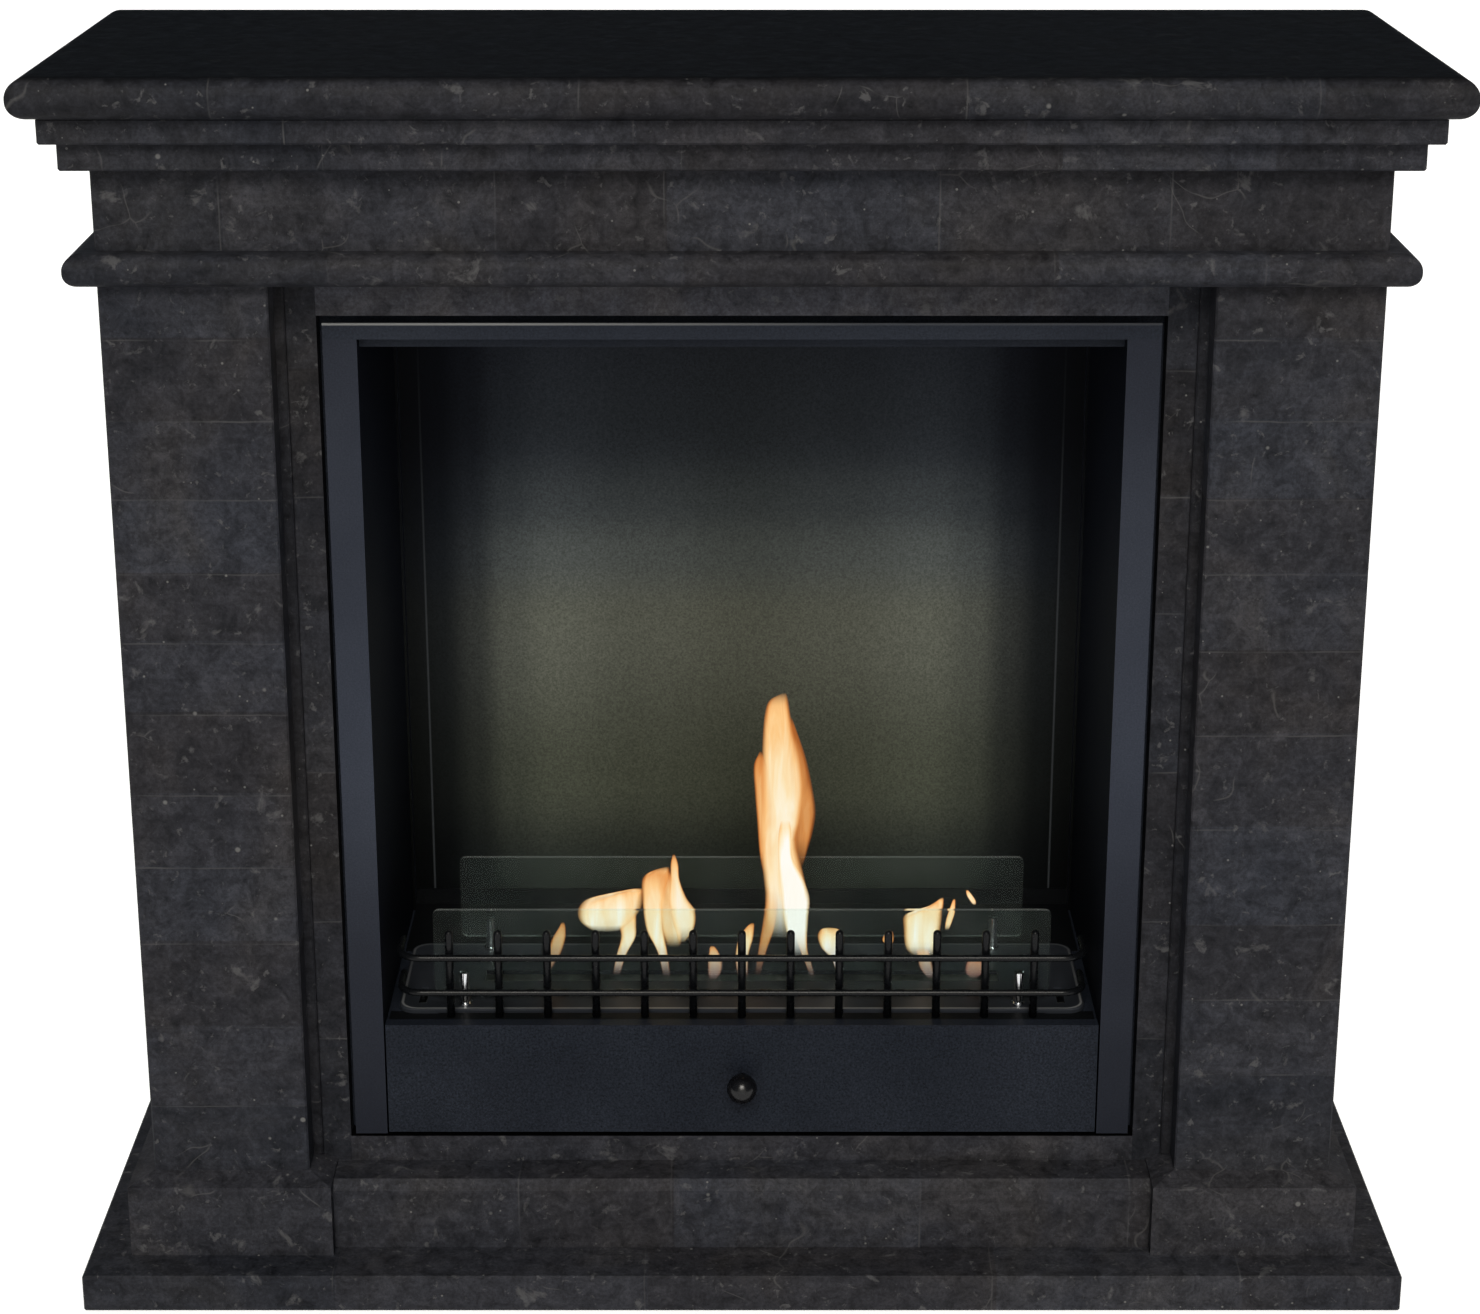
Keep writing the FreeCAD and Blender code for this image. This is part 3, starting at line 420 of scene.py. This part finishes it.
def tile_joints(graph, letter, joints, colour):
    """Give each tile its own tone, and draw the thin worn joints between the tiles."""
    level = graph.axis(letter)
    edges = [joint * MM for joint in joints]
    low, high = edges[0] - TILE_END, edges[-1] + TILE_END
    stops = []
    for index, edge in enumerate([low, *edges]):
        tone = TILE_TONE + TILE_TONE_RANGE * ((index * TILE_TONE_STEP) % 1.0)
        warmth = TILE_WARMTH_RANGE * ((index * TILE_WARMTH_STEP) % 1.0 - 0.5)
        place = (edge - low) / (high - low)
        stops.append((place, (tone * (1 + warmth), tone, tone * (1 - warmth))))
    tones = graph.ramp(graph.spread(level, low, high), stops, "CONSTANT")
    colour = graph.mix(1.0, colour, tones, "MULTIPLY")
    waver = graph.spread(graph.noise(30.0, detail=2.0), 0.0, 1.0, -JOINT_WAVER, JOINT_WAVER)
    level = graph.math("ADD", level, waver)
    lines = 0.0
    for edge in edges:
        lines = graph.math("MAXIMUM", lines, graph.line(level, edge, JOINT_OUTER, JOINT_INNER))
    line_strength = graph.spread(graph.noise(14.0, detail=4.0, roughness=0.6), 0.42, 0.66, 0.05, 0.7)
    return graph.mix(graph.product(lines, line_strength), colour, JOINT_COLOUR)


def stone(name, letter=None, joints=(), tone=1.0, shaded_top_tone=1.0):
    """Charcoal fossil stone: cloudy and grainy, with pale ragged spots, flecks and a few broken veins."""
    graph = Graph(name)
    clouds = graph.noise(6.5, detail=5.0, roughness=0.62, distortion=0.7)
    mottle = graph.noise(58.0, detail=8.0, roughness=0.72, distortion=0.6)
    mottle = graph.spread(mottle, *NOISE_RANGE, 0.42, 1.62)
    grain = graph.spread(graph.noise(330.0, detail=3.0, roughness=0.7), *NOISE_RANGE, 0.7, 1.3)
    along = graph.stretched((9.0, 160.0, 160.0))
    streaks = graph.noise(1.0, detail=4.0, roughness=0.6, distortion=0.3, vector=along)
    streaks = graph.spread(streaks, *NOISE_RANGE, 0.88, 1.12)
    shade = graph.grey(graph.product(mottle, grain, streaks, tone))
    colour = graph.mix(1.0, graph.ramp(clouds, STONE_CLOUDS), shade, "MULTIPLY")
    if letter:
        colour = tile_joints(graph, letter, joints, colour)
    spots = graph.math("MAXIMUM", blotches(graph, 40.0, level=0.62), blotches(graph, 110.0, level=0.62))
    colour = graph.mix(graph.product(spots, SPOT_SHARE), colour, SPOT_COLOUR)
    veins = thin_veins(graph, 13.0, width=0.012, coverage=0.6)
    colour = graph.mix(graph.product(veins, VEIN_SHARE), colour, VEIN_COLOUR)
    chips = graph.math("MAXIMUM", flecks(graph, 170.0, share=0.1), flecks(graph, 70.0, share=0.06))
    colour = graph.mix(graph.product(chips, CHIP_SHARE), colour, CHIP_COLOUR)
    # Painted shade: faces that look up are darkened to this share of their colour.
    if shaded_top_tone < 1.0:
        dark = graph.mix(1.0 - shaded_top_tone, colour, (0.0, 0.0, 0.0))
        colour = graph.mix(graph.spread(graph.normal("Z"), 0.75, 1.0), colour, dark)
    rough = graph.spread(mottle, 0.5, 1.5, 0.44, 0.64)
    height = graph.math("ADD", mottle, graph.product(grain, 0.5))
    graph.shade(Base_Color=colour, Roughness=rough, Specular_IOR_Level=MATT_SPECULAR)
    graph.shade(Normal=graph.bump(height, strength=0.2, distance=0.0005))
    return graph.material


def powder_coat(name, tones, grain_scale=COAT_GRAIN, roughness=COAT_ROUGHNESS, contrast=0.5):
    """Fine-textured powder coat: tiny grains in the paint film and a slight cloudiness."""
    graph = Graph(name)
    cloud = graph.noise(7.0, detail=3.0)
    grain = graph.noise(grain_scale, detail=3.0, roughness=0.75)
    speckle = graph.spread(grain, *NOISE_RANGE, 1.0 - contrast, 1.0 + contrast)
    graph.shade(Base_Color=graph.mix(graph.spread(cloud, *NOISE_RANGE), *tones))
    graph.tint(graph.grey(speckle))
    graph.shade(Roughness=graph.spread(grain, 0.2, 0.8, roughness - 0.07, roughness + 0.1))
    graph.shade(Normal=graph.bump(grain, strength=0.35, distance=0.0003))
    graph.shade(Specular_IOR_Level=MATT_SPECULAR)
    return graph


def painted_light_back_coat():
    """The back wall's coat: a lit copy with a painted pool of light above the burner, painted shade
    toward the sides and the lintel's painted shadow along the top.
    """
    graph = powder_coat("back_wall_coat", BACK_LIT_TONES, grain_scale=560.0, roughness=0.55, contrast=0.38)
    across = graph.math("ABSOLUTE", graph.axis("X"))
    height = graph.axis("Z")
    # Painted light: a pool above the burner, painted shade toward the sides, and the lintel's painted
    # shadow along the top.
    graph.tint(graph.ramp(graph.spread(across, 0.0, BACK_LIGHT_POOL_WIDTH), BACK_LIGHT_POOL_ACROSS, "EASE"))
    graph.tint(graph.ramp(graph.spread(height, *BACK_LIGHT_POOL_HEIGHTS), BACK_LIGHT_POOL_UP, "EASE"))
    # Painted highlight: a pale line along a panel seam, strongest low on the wall and weaker toward the
    # shaded top.
    seam = graph.line(across, BACK_SEAM_PLACE, BACK_SEAM_OUTER, BACK_SEAM_INNER)
    line_strength = graph.spread(height, *BACK_SEAM_HEIGHTS, 0.1, 0.75)
    painted_light = graph.mix(graph.product(seam, line_strength), graph.colour(), BACK_SEAM_HIGHLIGHT_COLOUR)
    inside = graph.spread(graph.normal("Y"), 0.0, -0.5)
    graph.shade(Base_Color=graph.mix(inside, BACK_OUTSIDE_COLOUR, painted_light))
    return graph.material


def shaded_side_coat():
    """The side walls' coat: a painted band of light halfway up, and painted shade darkening the walls
    inside, behind the front flanges.
    """
    graph = powder_coat("side_wall_coat", SIDE_TONES, grain_scale=700.0, contrast=0.2)
    # Painted light: a band lighter halfway up the walls, darker low and high.
    graph.tint(graph.ramp(graph.spread(graph.axis("Z"), *SIDE_LIGHT_BAND_HEIGHTS), SIDE_LIGHT_BAND_UP, "EASE"))
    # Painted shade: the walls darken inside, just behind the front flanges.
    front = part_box("firebox_side_left")[0].y
    inside = graph.spread(graph.axis("Y"), front + SIDE_SHADE_STARTS, front + SIDE_SHADE_FULL)
    graph.tint(graph.mix(inside, (1.0, 1.0, 1.0), SIDE_SHADE_TINT))
    return graph.material


def highlit_top_coat():
    """The top's coat, with a painted highlight along the upper edge of its front flange, strongest on the
    left.
    """
    graph = powder_coat("top_coat", COAT_TONES, contrast=0.3)
    low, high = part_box("firebox_top")
    # Painted highlight: a pale strip on the flange's upper edge, stronger on the left.
    edge = graph.spread(graph.axis("Z"), *(high.z - depth for depth in HIGHLIGHT_DEPTHS))
    front = graph.spread(graph.axis("Y"), *(low.y + depth for depth in FLANGE_DEPTHS))
    along = graph.spread(graph.axis("X"), *HIGHLIGHT_ALONG, 0.12, 0.85)
    highlight = graph.product(edge, front, along)
    graph.shade(Base_Color=graph.mix(highlight, graph.colour(), FLANGE_HIGHLIGHT_COLOUR))
    return graph.material


def brushed_steel(name, colour, roughness):
    """Rolled stainless steel with brushing along X and light stains."""
    graph = Graph(name)
    lines = graph.noise(1.0, detail=5.0, roughness=0.7, vector=graph.stretched(BRUSHING))
    stain = graph.noise(26.0, detail=5.0, roughness=0.6, distortion=0.4)
    dark = tuple(channel * 0.6 for channel in colour)
    tone = graph.mix(graph.spread(lines, 0.25, 0.75), dark, colour)
    graph.shade(Base_Color=graph.mix(graph.spread(stain, 0.45, 0.7, 0.0, 0.5), tone, dark))
    graph.shade(Roughness=graph.spread(lines, 0.2, 0.8, roughness - 0.08, roughness + 0.12))
    graph.shade(Metallic=1.0, Anisotropic=0.5, Normal=graph.bump(lines, strength=0.12, distance=0.0002))
    return graph


def plate_steel():
    """The burner plate's steel, with a painted highlight along its rim: a pale line near the edge,
    fainter toward the rear.
    """
    graph = brushed_steel("plate_steel", PLATE_COLOUR, roughness=0.42)
    low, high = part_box("burner_top_plate")
    middle = (low + high) / 2
    half = (high - low) / 2
    border = PLATE_LINE_INSET + PLATE_LINE_CORNER
    reach = (half.x - border, half.y - border, 1.0)
    offset = graph.vector("ABSOLUTE", graph.vector("SUBTRACT", graph.place(), tuple(middle)))
    beyond = graph.vector("MAXIMUM", graph.vector("SUBTRACT", offset, reach))
    distance = graph.node("VectorMath", {0: beyond}, operation="LENGTH").outputs["Value"]
    line = graph.line(distance, PLATE_LINE_CORNER, PLATE_LINE_WIDTH, PLATE_LINE_WIDTH * 0.4)
    # Painted highlight: the rim line fades toward the rear of the plate.
    line = graph.product(line, graph.spread(graph.axis("Y"), 0.0, low.y, 0.3, 1.0))
    graph.shade(Base_Color=graph.mix(line, graph.colour(), PLATE_RIM_HIGHLIGHT_COLOUR))
    graph.shade(Metallic=0.3, Specular_IOR_Level=0.2)
    return graph.material


def clear_glass():
    """Clear glass with a thin film of dust, and pale ground edges."""
    graph = Graph("wind_glass")
    film = graph.noise(18.0, detail=5.0, roughness=0.6, distortion=1.2)
    film = graph.spread(film, 0.35, 0.75, 0.996, 0.988)
    edge = graph.spread(graph.math("ABSOLUTE", graph.normal("Y")), 0.75, 0.45)
    clear = graph.math("SUBTRACT", film, graph.product(edge, 0.1))
    graph.shade(Base_Color=GLASS_COLOUR, Transmission_Weight=clear, IOR=THIN_PANE_IOR, Roughness=0.0)
    return graph.material


def polished(name, colour, roughness, metallic=0.0, specular=0.5):
    """Polished surface with wipe marks and hairline scratches."""
    graph = Graph(name)
    wipes = graph.noise(140.0, detail=6.0, roughness=0.65, distortion=0.5)
    scratches = graph.noise(900.0, detail=2.0)
    dark = tuple(channel * 0.8 for channel in colour)
    graph.shade(Base_Color=graph.mix(graph.spread(wipes, 0.35, 0.65), dark, colour))
    graph.shade(Roughness=graph.spread(wipes, *NOISE_RANGE, roughness, roughness + 0.12))
    graph.shade(Normal=graph.bump(scratches, strength=0.05, distance=0.0002))
    graph.shade(Metallic=metallic, Specular_IOR_Level=specular)
    return graph.material


def ceramic_wool():
    """Pale matted fibres, charred in places."""
    graph = Graph("ceramic_wool_fibre")
    matted = graph.stretched((160.0, 420.0, 300.0))
    fibres = graph.noise(1.0, detail=6.0, roughness=0.75, distortion=1.5, vector=matted)
    char = graph.spread(graph.noise(24.0, detail=4.0), 0.45, 0.7)
    graph.shade(Base_Color=graph.mix(char, graph.mix(fibres, *WOOL_TONES), CHAR_COLOUR), Roughness=0.95)
    graph.shade(Normal=graph.bump(fibres, strength=0.8, distance=0.002))
    return graph.material


def fire():
    """Flame light: cream in the middle, orange at the edge and the tip, clear and violet at the foot."""
    graph = Graph("fire")
    rise, edge, warm, cover, lift = (
        graph.node("Attribute", attribute_name=name).outputs["Fac"]
        for name in ("rise", "edge", "warm", "cover", "lift")
    )
    upward = graph.stretched((95.0, 60.0, 14.0))
    streak = graph.noise(1.0, detail=3.0, roughness=0.5, distortion=0.6, vector=upward)
    edge_loss = graph.product(graph.math("POWER", edge, 4.0), 0.6)
    tip_loss = graph.product(graph.math("POWER", rise, 5.0), 0.5)
    warmth = graph.math("SUBTRACT", graph.math("SUBTRACT", 0.88, edge_loss), tip_loss)
    warmth = graph.math("ADD", warmth, graph.spread(streak, *NOISE_RANGE, -0.2, 0.1))
    colour = graph.ramp(graph.math("ADD", warmth, warm), FIRE_COLOURS)
    violet = graph.spread(lift, FIRE_FOOT_HEIGHT, 0.0, 0.0, 0.75)
    colour = graph.mix(violet, colour, FIRE_FOOT_COLOUR)
    foot = graph.product(graph.spread(rise, 0.0, 0.2), graph.spread(lift, *FIRE_CLEAR_HEIGHTS, 0.12, 1.0))
    tip = graph.spread(rise, 1.0, 0.94)
    side = graph.spread(edge, 1.0, 0.7)
    body = graph.product(graph.spread(streak, 0.2, 0.6, 0.82, 1.0), cover)
    alpha = graph.product(foot, tip, side, body)
    graph.shade(Base_Color=(0.0, 0.0, 0.0, 1.0), Roughness=1.0, Specular_IOR_Level=0.0)
    graph.shade(Emission_Color=colour, Emission_Strength=1.0, Alpha=alpha)
    return graph.material


def dress_nodes():
    """Give every CAD node its finish, and return the finishes of the record's material slots."""
    by_slot = {
        "stone": stone("stone_plain"),
        "black_coat": powder_coat("black_coat", COAT_TONES).material,
        "grate_black": polished("grate_satin_black", (0.004, 0.0045, 0.0055), 0.22, specular=0.16),
        "knob_black": polished("knob_gloss_black", (0.004, 0.004, 0.005), 0.2, specular=0.32),
        "zinc_steel": polished("screw_zinc", (0.55, 0.56, 0.58), 0.25, metallic=1.0),
        "stainless": brushed_steel("burner_steel", (0.42, 0.43, 0.45), roughness=0.36).material,
        "glass": clear_glass(),
        "chrome": polished("post_chrome", (0.8, 0.81, 0.83), 0.08, metallic=1.0),
        "wool": ceramic_wool(),
    }
    frieze = stone("stone_frieze", "X", FRIEZE_JOINTS)
    base = stone("stone_base", "X", BASE_JOINTS)
    left_leg = stone("stone_left_leg", "Z", LEFT_LEG_JOINTS)
    right_leg = stone("stone_right_leg", "Z", RIGHT_LEG_JOINTS)
    # The slips and corner strips are darkened: painted shade of the recess round the firebox.
    slip = stone("stone_slip", "Z", SLIP_JOINTS, tone=0.75)
    strip = stone("stone_strip", tone=0.6)
    side_coat = shaded_side_coat()
    deck_coat = powder_coat("deck_coat", DECK_TONES, roughness=0.5).material
    by_node = {
        # The shelf's top is darkened with painted shade.
        "mantel_shelf": stone("stone_shelf", "X", SHELF_JOINTS, tone=0.8, shaded_top_tone=0.075),
        "cornice_lower": stone("stone_cornice", "X", CORNICE_JOINTS),
        "cornice_upper": base,
        "frieze_front": frieze,
        "bead_moulding": stone("stone_bead", "X", CORNICE_JOINTS, tone=0.95),
        "base_slab": base,
        "bottom_rail": frieze,
        "pilaster_left": left_leg,
        "side_panel_left": left_leg,
        "pilaster_right": right_leg,
        "side_panel_right": right_leg,
        "slip_left": slip,
        # The lintel's stone is brightened to twice its tone: painted light on a face that the bead above
        # shades.
        "slip_top": stone("stone_lintel", tone=2.0),
        "slip_right": slip,
        # The sill's top, seen in the gap under the drawer, is darkened with painted shade.
        "slip_bottom": stone("stone_sill", shaded_top_tone=0.04),
        "corner_strip_left": strip,
        "corner_strip_right": strip,
        "burner_top_plate": plate_steel(),
        "deck_front": deck_coat,
        "deck_rear": deck_coat,
        "grate_foot_bar": deck_coat,
        "drawer_front": powder_coat("drawer_coat", DRAWER_TONES, contrast=0.7).material,
        "firebox_back": painted_light_back_coat(),
        "firebox_top": highlit_top_coat(),
        "firebox_side_left": side_coat,
        "firebox_side_right": side_coat,
    }
    for row in frame["record"]["subparts"]:
        node = frame["nodes"][row["node"]]
        node.data.materials.clear()
        node.data.materials.append(by_node.get(row["node"], by_slot[row["material_slot"]]))
    return by_slot


def ring_faces(rings, sides):
    """Faces of a closed body of rings of points, with a cap at each end."""
    faces = []
    for ring in range(rings - 1):
        for side in range(sides):
            after = (side + 1) % sides
            base, top = ring * sides, (ring + 1) * sides
            faces.append((base + side, base + after, top + after, top + side))
    faces.append(tuple(reversed(range(sides))))
    faces.append(tuple(range((rings - 1) * sides, rings * sides)))
    return faces


def add_smooth(name, points, faces, material):
    """Add a smooth mesh to the scene."""
    mesh = bpy.data.meshes.new(name)
    mesh.from_pydata(points, [], faces)
    mesh.polygons.foreach_set("use_smooth", [True] * len(faces))
    mesh.materials.append(material)
    piece = bpy.data.objects.new(name, mesh)
    bpy.context.scene.collection.objects.link(piece)
    return piece


def lathe(profile, sides):
    """Points and faces of a closed body turned about its own axis, from (radius, height) pairs."""
    points = []
    for radius, height in profile:
        for side in range(sides):
            turn = 2 * math.pi * side / sides
            points.append(Vector((radius * math.cos(turn), radius * math.sin(turn), height)))
    return points, ring_faces(len(profile), sides)


def dome(radius, degrees, rings):
    """Profile of a ball from an angle round its axis up to its pole, about the ball's middle."""
    profile = []
    for step in range(rings):
        turn = math.radians(degrees) * (1 - step / (rings - 1))
        profile.append((max(radius * math.sin(turn), POLE_RADIUS), radius * math.cos(turn)))
    return profile


def add_turned(name, points, faces, material, body, node):
    """Add a smooth turned piece that takes the place of a node."""
    piece = add_smooth(name, points, faces, material)
    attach(piece, body)
    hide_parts(node)


def make_knob(material):
    """The drawer's ball knob on its neck, turned smooth."""
    low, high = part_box("drawer_knob")
    radius = (high.x - low.x) / 2
    middle = (low + high) / 2
    ball = dome(radius, KNOB_NECK_DEGREES, KNOB_RINGS)
    profile = [(ball[0][0], low.y + radius - high.y), *ball]
    points, faces = lathe(profile, KNOB_SIDES)
    points = [Vector((middle.x + p.x, low.y + radius - p.z, middle.z + p.y)) for p in points]
    add_turned("ball_knob", points, faces, material, "drawer", "drawer_knob")


def make_uprights(material):
    """The grate's row of uprights, round wire with rounded tips."""
    low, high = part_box("grate_uprights")
    radius = (high.y - low.y) / 2
    centre = (low.y + high.y) / 2
    tip = high.z - radius
    profile = [(radius, low.z)]
    profile += [(across, tip + rise) for across, rise in dome(radius, degrees=90, rings=UPRIGHT_RINGS)]
    points, faces = [], []
    for index in range(UPRIGHT_COUNT):
        across = low.x + radius + (high.x - low.x - 2 * radius) * index / (UPRIGHT_COUNT - 1)
        rod_points, rod_faces = lathe(profile, UPRIGHT_SIDES)
        start = len(points)
        points += [point + Vector((across, centre, 0)) for point in rod_points]
        faces += [tuple(start + corner for corner in face) for face in rod_faces]
    add_turned("round_uprights", points, faces, material, "surround", "grate_uprights")


def smooth_stations(stations, count):
    """Points along a smooth curve through the stations, as many as asked for."""
    points = [Vector(station) for station in stations]
    padded = [points[0] * 2 - points[1], *points, points[-1] * 2 - points[-2]]
    curve = []
    for step in range(count):
        along = step / (count - 1) * (len(points) - 1)
        index = min(int(along), len(points) - 2)
        share = along - index
        a, b, c, e = padded[index:index + 4]
        linear = (c - a) * share
        square = (a * 2 - b * 5 + c * 4 - e) * share ** 2
        cube = (b * 3 - a - c * 3 + e) * share ** 3
        curve.append((b * 2 + linear + square + cube) / 2)
    return curve


def make_flame(name, warm, cover, front, spans, material):
    """A closed flame, lens-shaped in section, that stands in the slot of the burner plate."""
    low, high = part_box("burner_top_plate")
    foot = Vector((0.0, (low.y + high.y) / 2, high.z))
    points = []
    values = {"rise": [], "edge": [], "lift": []}
    lowest, tallest = spans[0][0], spans[-1][0]
    for height, left, right in smooth_stations(spans, FLAME_RINGS):
        middle = (left + right) / 2
        half = max((right - left) / 2, FLAME_LEAST_HALF_WIDTH_MM)
        for side in range(FLAME_SIDES):
            turn = 2 * math.pi * side / FLAME_SIDES
            across = middle + half * math.cos(turn)
            deep = half * FLAME_DEPTH * math.sin(turn) - front
            points.append(foot + Vector((across, deep, height)) * MM)
            values["rise"].append(max(0.0, (height - lowest) / (tallest - lowest)))
            values["edge"].append(abs(math.cos(turn)))
            values["lift"].append(height * MM)
    values["warm"] = [warm] * len(points)
    values["cover"] = [cover] * len(points)
    flame = add_smooth(f"flame_{name}", points, ring_faces(FLAME_RINGS, FLAME_SIDES), material)
    for attribute, numbers in values.items():
        flame.data.attributes.new(attribute, "FLOAT", "POINT").data.foreach_set("value", numbers)
    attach(flame, "surround")
    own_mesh(flame)


def make_floor():
    """A wide pale floor that stays pale to the horizon and keeps the shadow."""
    mesh = bpy.data.meshes.new("floor")
    half = FLOOR_SIZE / 2
    corners = [(-half, -half, 0), (half, -half, 0), (half, half, 0), (-half, half, 0)]
    mesh.from_pydata(corners, [], [(0, 1, 2, 3)])
    graph = Graph("floor_paint")
    path = graph.node("LightPath").outputs
    seen = graph.math("MAXIMUM", path["Is Camera Ray"], path["Is Glossy Ray"])
    seen = graph.math("MAXIMUM", seen, path["Is Transmission Ray"])
    graph.shade(Base_Color=(*FLOOR_COLOUR, 1.0), Roughness=0.9, Specular_IOR_Level=0.0)
    graph.shade(Emission_Color=(1.0, 1.0, 1.0, 1.0), Emission_Strength=graph.product(seen, FLOOR_GLOW))
    mesh.materials.append(graph.material)
    floor = bpy.data.objects.new("floor", mesh)
    bpy.context.scene.collection.objects.link(floor)


def make_sun(name, elevation, angle, strength, turn=0):
    """A soft sun in front of the fireplace, or one turned round it that no surface mirrors."""
    lamp = bpy.data.lights.new(name, "SUN")
    lamp.energy = strength
    lamp.angle = math.radians(angle)
    lamp.color = SUN_COLOUR
    sun = bpy.data.objects.new(name, lamp)
    sun.rotation_euler = (math.radians(90 - elevation), 0, math.radians(turn))
    sun.visible_glossy = turn == 0
    bpy.context.scene.collection.objects.link(sun)


def make_light():
    """The key light from above, the low fill light, two rear lights and the sky."""
    make_sun("key", KEY_ELEVATION_DEGREES, KEY_ANGLE_DEGREES, KEY_STRENGTH)
    make_sun("fill", FILL_ELEVATION_DEGREES, FILL_ANGLE_DEGREES, FILL_STRENGTH)
    for name, turn in (("rear_left", -REAR_TURN_DEGREES), ("rear_right", REAR_TURN_DEGREES)):
        make_sun(name, REAR_ELEVATION_DEGREES, FILL_ANGLE_DEGREES, REAR_STRENGTH, turn)
    world = bpy.data.worlds.new("sky")
    world.use_nodes = True
    background = world.node_tree.nodes["Background"]
    background.inputs["Color"].default_value = (*SKY_COLOUR, 1.0)
    background.inputs["Strength"].default_value = SKY_STRENGTH
    bpy.context.scene.world = world


def make_camera():
    """The photographer's view."""
    lens = bpy.data.cameras.new("camera")
    lens.lens = CAMERA_LENS_MM
    camera = bpy.data.objects.new("camera", lens)
    camera.location = CAMERA_PLACE
    camera.rotation_euler = (math.radians(90 - CAMERA_PITCH_DEGREES), 0, 0)
    bpy.context.scene.collection.objects.link(camera)
    bpy.context.scene.camera = camera


finishes = dress_nodes()
make_knob(finishes["knob_black"])
make_uprights(finishes["grate_black"])
flame_light = fire()
for flame_name, flame_form in FLAMES.items():
    make_flame(flame_name, *flame_form, flame_light)
make_floor()
make_light()
make_camera()
bpy.context.scene.view_settings.view_transform = "Standard"
